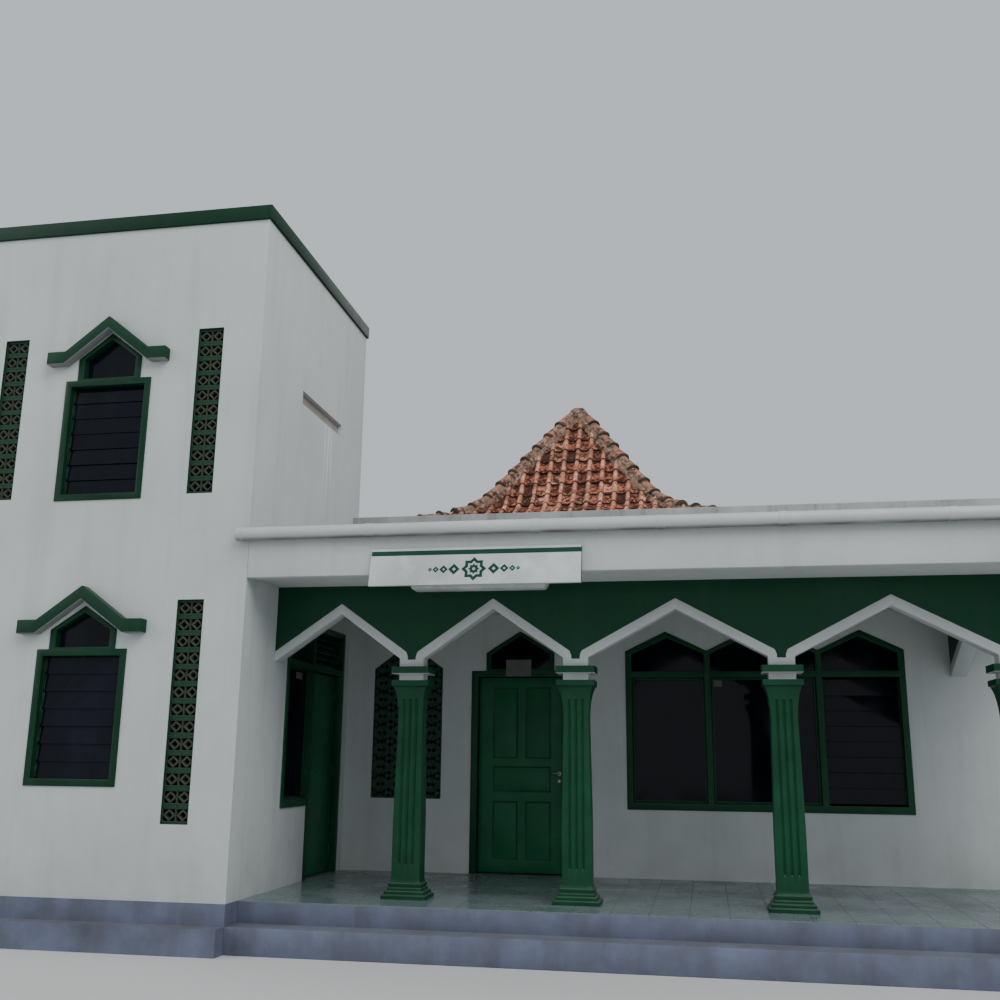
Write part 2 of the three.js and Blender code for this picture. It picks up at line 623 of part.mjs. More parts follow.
// Rolls along the four hips, meeting in a cap at the top, cut off where they meet the slopes
function hipRolls() {
  const slopes = [EAVES, ...spireOuter].map(([half, height]) => [half, height + SEAM]);
  const beyondEaves = EAVES[0] + 4 * HIP_RADIUS;
  const belowEaves = EAVES[1] - 2 * HIP_RADIUS;
  const body = toSolid(squareLathe([[0, 0], [beyondEaves, 0], [beyondEaves, belowEaves], ...slopes]));
  const circle = new THREE.Shape().absarc(0, 0, HIP_RADIUS, 0, 2 * Math.PI, false);
  const section = new THREE.Shape(circle.getPoints(4).slice(0, -1));
  const skirtSlope = (TIER_BREAK[1] - EAVES[1]) / (EAVES[0] - TIER_BREAK[0]);
  const line = [[EAVES[0] - HIP_SET_IN, EAVES[1] + HIP_SET_IN * skirtSlope], ...spireOuter];
  const cap = new THREE.CylinderGeometry(CAP.top, CAP.bottom, CAP.height, 12);
  let rolls = toSolid(cap.rotateX(Math.PI / 2).translate(0, 0, CAP.centre));
  for (const [sx, sy] of [[1, 1], [-1, 1], [-1, -1], [1, -1]]) {
    const path = new THREE.CurvePath();
    const points = line.map(([half, height]) => new THREE.Vector3(sx * half, sy * half, height));
    for (let i = 1; i < points.length; i += 1) {
      path.add(new THREE.LineCurve3(points[i - 1], points[i]));
    }
    const settings = { steps: HIP_STEPS, extrudePath: path, bevelEnabled: false };
    rolls = rolls.add(toSolid(new THREE.ExtrudeGeometry(section, settings)));
  }
  return toGeometry(rolls.subtract(body));
}
atRoof(addMesh(hall, "hall_roof_hips", hipRolls(), TERRACOTTA));

// Front door, its frame and the light over it
const fanInner = FANLIGHT.half - FANLIGHT.border;
const doorFrame = [
  [DOOR.left + SEAM, SEAM], [DOOR.left + DOOR.jamb, SEAM], [DOOR.left + DOOR.jamb, DOOR.headBottom],
  [DOOR.right - DOOR.jamb, DOOR.headBottom], [DOOR.right - DOOR.jamb, SEAM],
  [DOOR.right - SEAM, SEAM], [DOOR.right - SEAM, DOOR.top - HALF_SEAM],
  [FANLIGHT.centre + FANLIGHT.half - SEAM, DOOR.top - HALF_SEAM],
  ...fanOutline(-SEAM),
  [FANLIGHT.centre - FANLIGHT.half + SEAM, DOOR.top - HALF_SEAM],
  [DOOR.left + SEAM, DOOR.top - HALF_SEAM],
];
const fanShoulder = FANLIGHT.shoulder - 18;
const fanLight = (inset) => [
  [FANLIGHT.centre - fanInner + inset, FANLIGHT.foot + inset],
  [FANLIGHT.centre + fanInner - inset, FANLIGHT.foot + inset],
  [FANLIGHT.centre + fanInner - inset, fanShoulder - inset],
  [FANLIGHT.centre, FANLIGHT.apex - FANLIGHT.border - inset],
  [FANLIGHT.centre - fanInner + inset, fanShoulder - inset],
];
addFrontPanel(hall, "front_door_frame", shapeFrom(doorFrame, [fanLight(0)]),
  [HALL_FRONT - FRAME_PROUD, HALL_FRONT + WALL], GREEN);
const fanGlassFront = HALL_FRONT + FANLIGHT_SET_BACK;
addFrontPanel(hall, "front_fanlight_glass", shapeFrom(fanLight(1)),
  [fanGlassFront, fanGlassFront + GLASS], DARK_GLASS, 0.2);
const frontLeafXs = [DOOR.left + DOOR.jamb + LEAF_CLEAR, DOOR.right - DOOR.jamb - LEAF_CLEAR];
const leafFront = HALL_FRONT + LEAF_SET_BACK;
const frontLeaf = boxBetween(frontLeafXs, [leafFront, leafFront + LEAF_THICKNESS],
  [LEAF_SILL_CLEAR, DOOR.headBottom - LEAF_CLEAR]);
const frontHandle = handleParts(-1).map((piece) => {
  return piece.translate(frontLeafXs[1] - HANDLE.setIn, leafFront, HANDLE.height);
});
addMesh(hall, "front_door", fuse([frontLeaf, ...frontHandle]), GREEN);

// Pierced window beside the door
const cellWidth = (PIERCED.right - PIERCED.left) / PIERCED_GRID.columns;
const cellHeight = (PIERCED.shoulder - PIERCED.bottom) / PIERCED_GRID.rows;
const piercedHoles = [];
for (let row = 0; row < PIERCED_GRID.rows; row += 1) {
  for (let column = 0; column < PIERCED_GRID.columns; column += 1) {
    const x = PIERCED.left + (column + 0.5) * cellWidth;
    const z = PIERCED.bottom + (row + 0.5) * cellHeight;
    piercedHoles.push(diamond(x, z, 0.36 * cellWidth, 0.36 * cellHeight));
  }
}
addFrontPanel(hall, "hall_pierced_window", shapeFrom(piercedOutline(-SEAM), piercedHoles),
  [HALL_FRONT + STRIP_SET_BACK, HALL_FRONT + STRIP_SET_BACK + STRIP_DEPTH], GREEN);

// Triple window
addFrontPanel(hall, "hall_window_frame", shapeFrom(tripleOutline(0, -SEAM), tripleLights()),
  [HALL_FRONT - FRAME_PROUD, HALL_FRONT + FRAME_DEPTH], GREEN);
addFrontPanel(hall, "hall_window_glass", shapeFrom(tripleOutline(0, -TRIPLE_MEMBER / 2)),
  [HALL_FRONT + FRAME_DEPTH, HALL_FRONT + FRAME_DEPTH + GLASS], DARK_GLASS, 0.2);

// The veranda: floor on a lower ledge, canopy, gutter
const ledge = boxBetween([0, VERANDA_RIGHT], [0, HALL_FRONT], [GROUND - HALF_SEAM, LEDGE_TOP]);
const floorXs = [0, VERANDA_RIGHT - FLOOR_FRONT];
const floorTop = boxBetween(floorXs, [FLOOR_FRONT, HALL_FRONT], [LEDGE_TOP - CUT_OVERRUN, 0]);
addMesh(veranda, "veranda_base", fuse([ledge, floorTop]), FLOOR_GREY, 0.35);
addBlock(veranda, "veranda_roof", [0, VERANDA_RIGHT - CANOPY_BEAM], [CANOPY_BEAM, HALL_FRONT],
  [SOFFIT, SOFFIT + SLAB], WHITE);
const beamPlan = [
  [HALF_SEAM, 0], [VERANDA_RIGHT, 0], [VERANDA_RIGHT, HALL_FRONT - SEAM],
  [VERANDA_RIGHT - CANOPY_BEAM + SEAM, HALL_FRONT - SEAM],
  [VERANDA_RIGHT - CANOPY_BEAM + SEAM, CANOPY_BEAM - SEAM], [HALF_SEAM, CANOPY_BEAM - SEAM],
];
addPlate(veranda, "veranda_beam", shapeFrom(beamPlan), [CANOPY_BOTTOM, CANOPY_TOP], WHITE);

// The gutter is a round moulding with a flat back against the beam and the wing's front
const [gutterY, gutterZ] = GUTTER_CENTRE;
const backAngle = Math.acos((-gutterY - SEAM) / GUTTER_RADIUS);
const gutterArc = new THREE.EllipseCurve(gutterY, gutterZ, GUTTER_RADIUS, GUTTER_RADIUS,
  backAngle, 2 * Math.PI - backAngle);
const gutterOutline = gutterArc.getPoints(14).map((point) => [point.x, point.y]);
addSidePanel(veranda, "veranda_gutter", shapeFrom(gutterOutline), [GUTTER_END, VERANDA_RIGHT], WHITE);

// Arcade: a green wall cut by angular arches, with white bands along the cuts and down the necks
function wedgeSide(centre, side) {
  return [WEDGE.shoulder, WEDGE.waist, WEDGE.foot].map(([half, z]) => [centre + side * half, z]);
}
const cornerColumn = COLUMN_XS.at(-1);
const arcadeEnd = cornerColumn + NECK_HALF;
const upperLine = [[SEAM, ARCH_WALL_END]];
const lowerLine = [[SEAM, ARCH_WALL_END - ARCH_BAND]];
COLUMN_XS.forEach((column, i) => {
  const apex = i === 0 ? column / 2 + FIRST_APEX_SHIFT : (COLUMN_XS[i - 1] + column) / 2;
  upperLine.push([apex, ARCH_TOPS[i]], ...wedgeSide(column, -1));
  lowerLine.push([apex, ARCH_TOPS[i] - ARCH_BAND], [column - NECK_HALF, NECK_TOP]);
  lowerLine.push([column - NECK_HALF, CAP_TOP + SEAM], [column + NECK_HALF, CAP_TOP + SEAM]);
  if (column !== cornerColumn) {
    upperLine.push(...wedgeSide(column, 1).reverse());
    lowerLine.push([column + NECK_HALF, NECK_TOP]);
  }
});
upperLine.push([arcadeEnd, WEDGE.foot[1]]);
const arcadeShape = shapeFrom([
  ...upperLine.map(([a, b]) => [a, b + SEAM]), [arcadeEnd, SOFFIT - SEAM], [SEAM, SOFFIT - SEAM],
]);
addFrontPanel(veranda, "arcade_wall_front", arcadeShape, ARCADE_YS, GREEN);
const bandShape = shapeFrom([...lowerLine, ...upperLine.reverse()]);
addFrontPanel(veranda, "arcade_band_front", bandShape, BAND_YS, WHITE);

// One more bay returns along the veranda's open end to the hall
const [arcadeFront, arcadeBack] = ARCADE_YS;
const bandReveal = arcadeFront - BAND_YS[0];
const returnStart = BAND_YS[1] + SEAM;
const returnFoot = returnStart + NECK_HALF - WEDGE.foot[0];
const returnEnd = HALL_FRONT - SEAM;
const returnApex = (returnFoot + returnEnd) / 2;
const returnXs = [arcadeEnd - bandReveal - (arcadeBack - arcadeFront), arcadeEnd - bandReveal];
const returnShoulder = returnStart + WEDGE.shoulder[0] - WEDGE.foot[0];
const returnLine = [
  [returnStart, WEDGE.shoulder[1]], [returnShoulder, WEDGE.shoulder[1]],
  [returnApex, RETURN_ARCH_TOP], [returnEnd, ARCH_WALL_END],
];
const returnWall = shapeFrom([
  ...returnLine.map(([a, b]) => [a, b + SEAM]), [returnEnd, SOFFIT - SEAM],
  [returnStart, SOFFIT - SEAM],
]);
addSidePanel(veranda, "arcade_wall_return", returnWall, returnXs, GREEN);
const returnBand = shapeFrom([
  [returnStart, CAP_TOP + SEAM], [returnFoot, CAP_TOP + SEAM], [returnFoot, NECK_TOP],
  [returnApex, RETURN_ARCH_TOP - ARCH_BAND], [returnEnd, ARCH_WALL_END - ARCH_BAND],
  ...returnLine.reverse(),
]);
addSidePanel(veranda, "arcade_band_return", returnBand, [returnXs[0] - bandReveal, arcadeEnd], WHITE);

// Columns: half width and height from the floor to the top of the cap slab
const columnProfile = [
  [0, SEAM], [192, SEAM], [192, 30], [171, 34], [171, 60], [150, 64], [150, 85], [140, 88],
  [140, 105], [BASE_RING[0], 106], ...cove(SHAFT_FOOT, BASE_RING).reverse(), SHAFT_MIDDLE, SHAFT_HEAD,
  ...CAPITAL_CURVE, [CAPITAL_HALF, 1757], [CAPITAL_HALF, 1806], [110, 1806], [110, 1863],
  [167, 1863], [167, CAP_TOP], [0, CAP_TOP],
];
COLUMN_XS.forEach((x, i) => {
  const geometry = squareLathe(columnProfile, COLUMN_LESS_DEPTH);
  addMesh(veranda, `column_${i + 1}`, geometry, GREEN, 0.45).position.set(x, COLUMN_Y, 0);
});

const signBoard = [
  SIGN.foot, [SIGN.foot[0] + SIGN.thickness, SIGN.foot[1] - 6], SIGN.back, SIGN.head,
];
const signWedge = [
  [SIGN.foot[0] + SIGN.thickness / 2, SIGN.wedgeFoot], [SIGN.back[0], SIGN.wedgeFoot + 60],
  [SIGN.back[0], SIGN.back[1] - 10], [SIGN.head[0] + 4, SIGN.head[1] - 20],
];
const signPieces = [
  extrudeOutline(signBoard, SIGN.right - SIGN.left).translate(0, 0, SIGN.left),
  ...SIGN.wedges.map((x) => extrudeOutline(signWedge, SIGN.wedgeWidth).translate(0, 0, x)),
];
addMesh(veranda, "sign_board", fuse(signPieces), WHITE).quaternion.set(0.5, 0.5, 0.5, 0.5);
addBlock(veranda, "sign_light_box", [LIGHT_BOX.left, LIGHT_BOX.right],
  [LIGHT_BOX.front, LIGHT_BOX.back], [LIGHT_BOX.bottom, SOFFIT], WHITE);

// Move the building so that the origin is on the ground, under the middle of its plan
building.updateMatrixWorld(true);
const bounds = new THREE.Box3().setFromObject(building, true);
const middle = bounds.getCenter(new THREE.Vector3());
building.position.set(-middle.x, -middle.y, -bounds.min.z);

export default building;
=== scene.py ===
"""Detailed pieces and finishes of a small neighbourhood mosque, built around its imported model.

Lengths are in metres. A piece is drawn with x along the front from the wing's side face, y into the
building from the wing's front face and z up from the veranda floor, and is then moved into the model."""
import math
import random

import bmesh
import bpy
from bpy.props import FloatProperty, FloatVectorProperty, IntProperty, PointerProperty
from mathutils import Euler, Matrix, Vector


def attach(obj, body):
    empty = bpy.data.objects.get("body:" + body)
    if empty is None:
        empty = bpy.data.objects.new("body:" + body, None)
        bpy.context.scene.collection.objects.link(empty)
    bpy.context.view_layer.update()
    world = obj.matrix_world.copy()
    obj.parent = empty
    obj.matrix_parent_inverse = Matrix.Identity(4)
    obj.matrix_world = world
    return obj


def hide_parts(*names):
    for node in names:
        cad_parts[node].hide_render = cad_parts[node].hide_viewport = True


bl_info = {
    "name": "Neighbourhood Mosque",
    "version": (1, 0, 0),
    "blender": (4, 5, 0),
    "location": "View3D > Sidebar > Mosque",
    "description": "Tiles, columns, windows, doors and finishes of a small mosque",
    "category": "Object",
}

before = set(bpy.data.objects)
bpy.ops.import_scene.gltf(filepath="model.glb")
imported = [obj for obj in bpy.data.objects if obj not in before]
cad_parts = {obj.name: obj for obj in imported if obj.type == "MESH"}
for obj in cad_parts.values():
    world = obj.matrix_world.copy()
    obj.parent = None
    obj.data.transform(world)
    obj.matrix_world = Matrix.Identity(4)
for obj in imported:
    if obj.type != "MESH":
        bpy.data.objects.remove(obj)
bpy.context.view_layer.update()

# Where the drawing's own origin lies in the model
ORIGIN = Vector((-1.9675, -6.253425, 0.380))

# The camera's place in the model and its turn in degrees
CAMERA_PLACE = (1.8335, -14.786425, 1.542)
CAMERA_TURN = (103.40524, -0.59795, 10.55939)

# Heights and places shared by several pieces
GROUND = -0.38
LEDGE_TOP = -0.17
HALL_FRONT = 2.817
HALL_RIGHT = 6.90
WING_LEFT = -2.94
WING_CENTRE = -1.47
ROOF_CENTRE = Vector((1.98, 7.737, 0.0))
SPIRE_LINE = [(0.0, 6.52), (1.10, 4.93), (1.25, 4.735), (1.43, 4.59), (1.56, 4.525), (1.70, 4.462)]
SKIRT_LINE = [(1.70, 4.462), (4.79, 3.13)]
COLUMN_XS = (1.278, 2.725, 4.437, 6.230)
COLUMN_Y = 0.795
FLOOR_RIGHT = 6.665
FLOOR_FRONT = 0.235
SIDE_LIGHT_YS = (1.0905, 1.6895)
STRIP_WIDTH = 0.243
PAINTED_YS = (-0.0012, 0.002)
WINDOWS = {
    "lower_window": {"sill": 0.885, "transom": 2.032, "shoulder": 2.200, "apex": 2.405},
    "upper_window": {"sill": 3.354, "transom": 4.490, "shoulder": 4.700, "apex": 4.937},
}
STRIPS = {
    "lower_vent_strip_left": (-2.566, 0.598, 2.447, 13),
    "lower_vent_strip_right": (-0.617, 0.598, 2.447, 13),
    "upper_vent_strip_left": (-2.566, 3.383, 4.930, 11),
    "upper_vent_strip_right": (-0.617, 3.383, 4.930, 11),
}

# Edges of the front door's panels
PANEL_XS = (1.600, 1.862, 1.944, 2.207)
PANEL_ZS = (0.135, 0.717, 0.811, 1.067, 1.150, 1.880)

# Extents of the notice plates along x, y and z, and how far their edges are rounded
NOTICES = {
    "side_notice_plate": ((-0.0515, -0.0495), (1.40, 1.56), (1.875, 1.940), 0.0006),
    "front_notice_plate": ((1.745, 2.015), (2.7985, 2.8015), (1.990, 2.166), 0.0007),
    "triple_notice_plate": ((3.893, 3.980), (2.8735, 2.8755), (1.886, 1.950), 0.0006),
}

PLANES = {
    "xz": lambda a, b, depth: Vector((a, depth, b)),
    "yz": lambda a, b, depth: Vector((depth, a, b)),
}


# Shapes

def block(bm, xs, ys, zs):
    """Adds a box between two values on each axis."""
    size = Vector((xs[1] - xs[0], ys[1] - ys[0], zs[1] - zs[0]))
    middle = Vector((xs[0] + xs[1], ys[0] + ys[1], zs[0] + zs[1])) / 2
    place = Matrix.Translation(middle) @ Matrix.Diagonal(size).to_4x4()
    bmesh.ops.create_cube(bm, size=1.0, matrix=place)


def connected_faces(start):
    """Every face that can be reached from one face over shared edges."""
    found = [start]
    seen = {start}
    for face in found:
        for edge in face.edges:
            for other in edge.link_faces:
                if other not in seen:
                    seen.add(other)
                    found.append(other)
    return found


def loft(bm, rings, hollow=False):
    """Adds a closed shell through rings with as many points each; a hollow one ends in its first."""
    loop = [bm.verts.new(point) for point in rings[0]]
    first = list(loop)
    for ring in rings[1:]:
        edges = [bm.edges.get((loop[i - 1], loop[i])) or bm.edges.new((loop[i - 1], loop[i]))
                 for i in range(len(loop))]
        grown = bmesh.ops.extrude_edge_only(bm, edges=edges)["geom"]
        fresh = {item for item in grown if isinstance(item, bmesh.types.BMVert)}
        loop = [next(edge.other_vert(vert) for edge in vert.link_edges
                     if edge.other_vert(vert) in fresh) for vert in loop]
        for vert, point in zip(loop, ring):
            vert.co = point
    if hollow:
        caps = [bm.faces.new((loop[i - 1], loop[i], first[i], first[i - 1])) for i in range(len(loop))]
    else:
        caps = [bm.faces.new(first), bm.faces.new(list(reversed(loop)))]
    shell = connected_faces(caps[0])
    bmesh.ops.recalc_face_normals(bm, faces=shell)
    return shell


def slab(bm, outline, plane, span):
    """Adds a plate of any outline between two depths."""
    place = PLANES[plane]
    loft(bm, [[place(a, b, depth) for a, b in outline] for depth in span])


def hollow_slab(bm, outer, inner, plane, span):
    """Adds a plate between an outer and an inner outline with as many points."""
    place = PLANES[plane]
    outside = [bm.verts.new(place(a, b, span[0])) for a, b in outer]
    inside = [bm.verts.new(place(a, b, span[0])) for a, b in inner]
    faces = [bm.faces.new((outside[i - 1], outside[i], inside[i], inside[i - 1]))
             for i in range(len(outside))]
    grown = bmesh.ops.extrude_face_region(bm, geom=faces)["geom"]
    moved = [item for item in grown if isinstance(item, bmesh.types.BMVert)]
    bmesh.ops.translate(bm, verts=moved, vec=place(0, 0, span[1]) - place(0, 0, span[0]))
    bmesh.ops.recalc_face_normals(bm, faces=connected_faces(faces[0]))


def rectangle(a0, a1, b0, b1, inset=0.0):
    """The corners of a rectangle, drawn in from its limits."""
    return [(a0 + inset, b0 + inset), (a1 - inset, b0 + inset),
            (a1 - inset, b1 - inset), (a0 + inset, b1 - inset)]


def diamond(a, b, wide, high):
    """The corners of a diamond with half a width and half a height."""
    return [(a, b - high), (a + wide, b), (a, b + high), (a - wide, b)]


def rod(bm, points, radii, count):
    """Adds a round rod through some points, with a radius at each."""
    rings = []
    for index, point in enumerate(points):
        before, after = points[max(index - 1, 0)], points[min(index + 1, len(points) - 1)]
        turn = (Vector(after) - Vector(before)).to_track_quat("Z", "Y").to_matrix()
        angles = [math.tau * step / count for step in range(count)]
        rings.append([Vector(point) + turn @ Vector((math.cos(angle), math.sin(angle), 0)) * radii[index]
                      for angle in angles])
    loft(bm, rings)


def mesh_of(bm, name):
    """Turns a bmesh into a mesh."""
    mesh = bpy.data.meshes.new(name)
    bm.to_mesh(mesh)
    bm.free()
    return mesh


def placed(name, data, place=(0, 0, 0), turn=(0, 0, 0)):
    """Adds an object to the scene at a place, turned by some degrees."""
    item = bpy.data.objects.new(name, data)
    item.location = place
    item.rotation_euler = Euler([math.radians(value) for value in turn])
    bpy.context.scene.collection.objects.link(item)
    return item


def join(bm, part, place=None, material=None):
    """Adds another bmesh to a bmesh, at a place and in a finish of its own."""
    if place is not None:
        bmesh.ops.transform(part, matrix=place, verts=part.verts)
    if material is not None:
        for face in part.faces:
            face.material_index = material
    mesh = mesh_of(part, "part")
    bm.from_mesh(mesh)
    bpy.data.meshes.remove(mesh)


def colour_faces(bm, test, material):
    """Gives the faces that pass a test another of the piece's finishes."""
    bm.normal_update()
    for face in bm.faces:
        if test(face):
            face.material_index = material


def soften(bm, width, segments=2, angle=30):
    """Rounds the sharp edges of the whole piece."""
    sharp = [edge for edge in bm.edges
             if len(edge.link_faces) == 2 and edge.calc_face_angle(0) > math.radians(angle)]
    bmesh.ops.bevel(bm, geom=sharp, offset=width, offset_type="OFFSET", segments=segments,
                    profile=0.5, affect="EDGES", clamp_overlap=True, material=-1)


def soft_block(bm, xs, ys, zs, width, segments=1, place=None, material=None):
    """Adds a box with rounded edges, at a place and in a finish of its own."""
    part = bmesh.new()
    block(part, xs, ys, zs)
    soften(part, width, segments)
    join(bm, part, place, material)


def all_of(bm):
    """Every corner, edge and face, as a cut takes them."""
    return bm.verts[:] + bm.edges[:] + bm.faces[:]


def cut_off(bm, point, normal):
    """Cuts off all that lies beyond a plane and closes the cut."""
    bmesh.ops.bisect_plane(bm, geom=all_of(bm), plane_co=point,
                           plane_no=Vector(normal).normalized(), clear_outer=True)
    bmesh.ops.holes_fill(bm, edges=[edge for edge in bm.edges if edge.is_boundary], sides=0)


def score(bm, normal, distances):
    """Cuts new edges into every face along some planes with one normal."""
    for distance in distances:
        bmesh.ops.bisect_plane(bm, geom=all_of(bm), plane_co=Vector(normal) * distance,
                               plane_no=normal)


def finish_piece(name, bm, finishes, stands_for=(), body="building", smooth=35):
    """Makes the object, puts it in its place, gives its finishes and hands it to the model."""
    bmesh.ops.translate(bm, verts=bm.verts, vec=ORIGIN)
    mesh = mesh_of(bm, name)
    for slot in finishes:
        mesh.materials.append(finish(slot))
    mesh.shade_smooth()
    mesh.set_sharp_from_angle(angle=math.radians(smooth))
    piece = placed(name, mesh)
    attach(piece, body)
    if stands_for:
        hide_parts(*stands_for)


def copy_of(node, width, segments=2):
    """A merged copy of a node of the model, drawn from the drawing's origin, with softened edges."""
    bm = bmesh.new()
    bm.from_mesh(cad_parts[node].data)
    bmesh.ops.translate(bm, verts=bm.verts, vec=-ORIGIN)
    bmesh.ops.remove_doubles(bm, verts=bm.verts, dist=0.00005)
    bmesh.ops.dissolve_limit(bm, angle_limit=math.radians(1), verts=bm.verts, edges=bm.edges)
    soften(bm, width, segments)
    return bm


def dress(node, name, slot, width):
    """A softened copy of a node that takes the node's place."""
    finish_piece(name, copy_of(node, width), [slot], [node])


def coat(node, slot):
    """Gives a node of the model its finish."""
    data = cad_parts[node].data
    data.materials.clear()
    data.materials.append(finish(slot))


# Finishes

WALL_DIRT = (0.25, 0.25, 0.23)
GREEN_DIRT = (0.06, 0.075, 0.065)
MOULD = (0.115, 0.115, 0.100)
LIME = (0.78, 0.78, 0.77)
TILE_LAYERS = ("tone", "crest", "foot")


class Sheet:
    """Adds and joins the shader nodes of one finish."""

    def __init__(self, name):
        self.material = bpy.data.materials.new(name)
        self.material.use_nodes = True
        self.tree = self.material.node_tree
        self.shader = self.tree.nodes["Principled BSDF"]
        self.place = self.node("ShaderNodeTexCoord", "Object")

    def node(self, kind, output, inputs=None, **settings):
        """Adds a node with its settings and inputs, and gives one of its outputs."""
        node = self.tree.nodes.new(kind)
        for key, value in settings.items():
            setattr(node, key, value)
        self.fill(node, inputs or {})
        return node.outputs[output]

    def fill(self, node, inputs):
        """Joins each input to another node's output, or sets its value."""
        for key, value in inputs.items():
            if isinstance(value, bpy.types.NodeSocket):
                self.tree.links.new(value, node.inputs[key])
            else:
                node.inputs[key].default_value = value

    def stretched(self, scale):
        return self.node("ShaderNodeMapping", "Vector", {"Vector": self.place, "Scale": scale})

    def noise(self, scale, detail=4.0, roughness=0.55, place=None, distortion=0.0):
        return self.node("ShaderNodeTexNoise", "Fac", {
            "Vector": place or self.place, "Scale": scale, "Detail": detail,
            "Roughness": roughness, "Distortion": distortion})

    def pits(self, scale):
        return self.node("ShaderNodeTexVoronoi", "Distance", {"Vector": self.place, "Scale": scale})

    def span(self, value, low, high, start=0.0, end=1.0):
        limits = {"From Min": low, "From Max": high, "To Min": start, "To Max": end}
        return self.node("ShaderNodeMapRange", "Result", {"Value": value, **limits}, clamp=True)

    def times(self, first, second, operation="MULTIPLY"):
        return self.node("ShaderNodeMath", "Value", {0: first, 1: second}, operation=operation)

    def plus(self, first, second):
        return self.times(first, second, "ADD")

    def axis(self, name, source=None):
        return self.node("ShaderNodeSeparateXYZ", name, {"Vector": source or self.place})

    def facing(self, name):
        return self.axis(name, self.node("ShaderNodeNewGeometry", "Normal"))

    def attribute(self, name):
        return self.node("ShaderNodeAttribute", "Fac", attribute_name=name)

    def blend(self, base, top, amount):
        return self.node("ShaderNodeMix", 2, {0: amount, 6: colour(base), 7: colour(top)},
                         data_type="RGBA", clamp_factor=True)

    def bump(self, height, distance, strength=1.0, under=None):
        inputs = {"Height": height, "Distance": distance, "Strength": strength}
        if under:
            inputs["Normal"] = under
        return self.node("ShaderNodeBump", "Normal", inputs)

    def close(self, base, roughness, normal=None, specular=0.5):
        inputs = {"Base Color": base, "Roughness": roughness, "Specular IOR Level": specular}
        if normal:
            inputs["Normal"] = normal
        self.fill(self.shader, inputs)
        return self.material


def colour(value):
    """A colour with its alpha, or a node's output as it is."""
    if isinstance(value, bpy.types.NodeSocket):
        return value
    return (*tuple(value)[:3], 1.0)


def dimmed(value, share):
    """A colour with each channel taken times a share."""
    return tuple(channel * share for channel in tuple(value)[:3])


def plaster(name, base, dirt=WALL_DIRT, gloss=0.85, grime=1.0, below_slot=False):
    """Painted render with trowel marks, rain streaks, dark tops and pale runs below the slot."""
    sheet = Sheet(name)
    height = sheet.axis("Z")
    clouds = sheet.span(sheet.noise(0.7, 5), 0.35, 0.75)
    patches = sheet.span(sheet.noise(4.5, 5, 0.6), 0.5, 0.8)
    streaks = sheet.noise(1.0, 6, 0.6, sheet.stretched((5.0, 5.0, 0.35)))
    streaks = sheet.span(streaks, 0.50, 0.74)
    specks = sheet.span(sheet.noise(38, 3), 0.62, 0.72)
    shade = sheet.blend(base, dimmed(base, 0.88), clouds)
    shade = sheet.blend(shade, dimmed(base, 0.84), sheet.times(patches, 0.5))
    shade = sheet.blend(shade, dirt, sheet.times(streaks, 0.20 * grime))
    foot = sheet.times(sheet.span(height, 0.38, 1.1, 1.0, 0.0),
                       sheet.span(sheet.noise(3.0, 6), 0.3, 0.75, 0.05, 0.40 * grime))
    shade = sheet.blend(shade, dirt, foot)
    shade = sheet.blend(shade, dirt, sheet.times(specks, 0.10 * grime))
    mould = sheet.times(sheet.span(sheet.facing("Z"), 0.6, 0.95),
                        sheet.span(patches, 0, 1, 0.35, 0.85))
    shade = sheet.blend(shade, MOULD, mould)
    if below_slot:
        shade = sheet.blend(shade, LIME, runs_below_slot(sheet, height))
    trowel = sheet.bump(sheet.noise(3.2, 3), 0.004, 0.5)
    grain = sheet.bump(sheet.noise(150, 4, 0.6), 0.0008, 0.5, trowel)
    rough = sheet.span(streaks, 0, 1, gloss, min(1.0, gloss + 0.1))
    return sheet.close(shade, rough, grain, 0.2)


def runs_below_slot(sheet, height):
    """Where lime has run down the wall from the slot."""
    depth = sheet.axis("Y")
    runs = sheet.noise(1.0, 4, 0.6, sheet.stretched((1.0, 16.0, 0.4)))
    runs = sheet.times(sheet.span(runs, 0.47, 0.60, 0.0, 0.85), sheet.span(height, 3.9, 4.7))
    beside = sheet.times(sheet.span(depth, -4.66, -4.56), sheet.span(depth, -4.30, -4.18, 1.0, 0.0))
    above = sheet.span(height, 4.905, 4.915, 1.0, 0.0)
    return sheet.times(runs, sheet.times(beside, above))


def enamel(name, base, gloss=0.38, dust=0.05):
    """Brushed oil paint, a little glossy, dusty and faded in patches."""
    sheet = Sheet(name)
    patches = sheet.span(sheet.noise(1.6, 5), 0.35, 0.7)
    shade = sheet.blend(base, dimmed(base, 0.70), patches)
    faded = sheet.span(sheet.noise(5.0, 6), 0.5, 0.75, 0.0, 0.4)
    shade = sheet.blend(shade, dimmed(base, 1.45), faded)
    dusty = sheet.span(sheet.noise(9.0, 7, 0.65), 0.52, 0.8)
    shade = sheet.blend(shade, (0.20, 0.21, 0.19), sheet.times(dusty, dust))
    upward = sheet.span(sheet.facing("Z"), 0.5, 1.0)
    shade = sheet.blend(shade, (0.26, 0.26, 0.23), sheet.times(upward, 0.25))
    brush = sheet.noise(26, 4, 0.6, sheet.stretched((6.0, 6.0, 0.5)))
    normal = sheet.bump(sheet.noise(60, 3), 0.0008, 0.4, sheet.bump(brush, 0.0006, 0.6))
    return sheet.close(shade, sheet.span(dusty, 0, 1, gloss, gloss + 0.3), normal, 0.20)


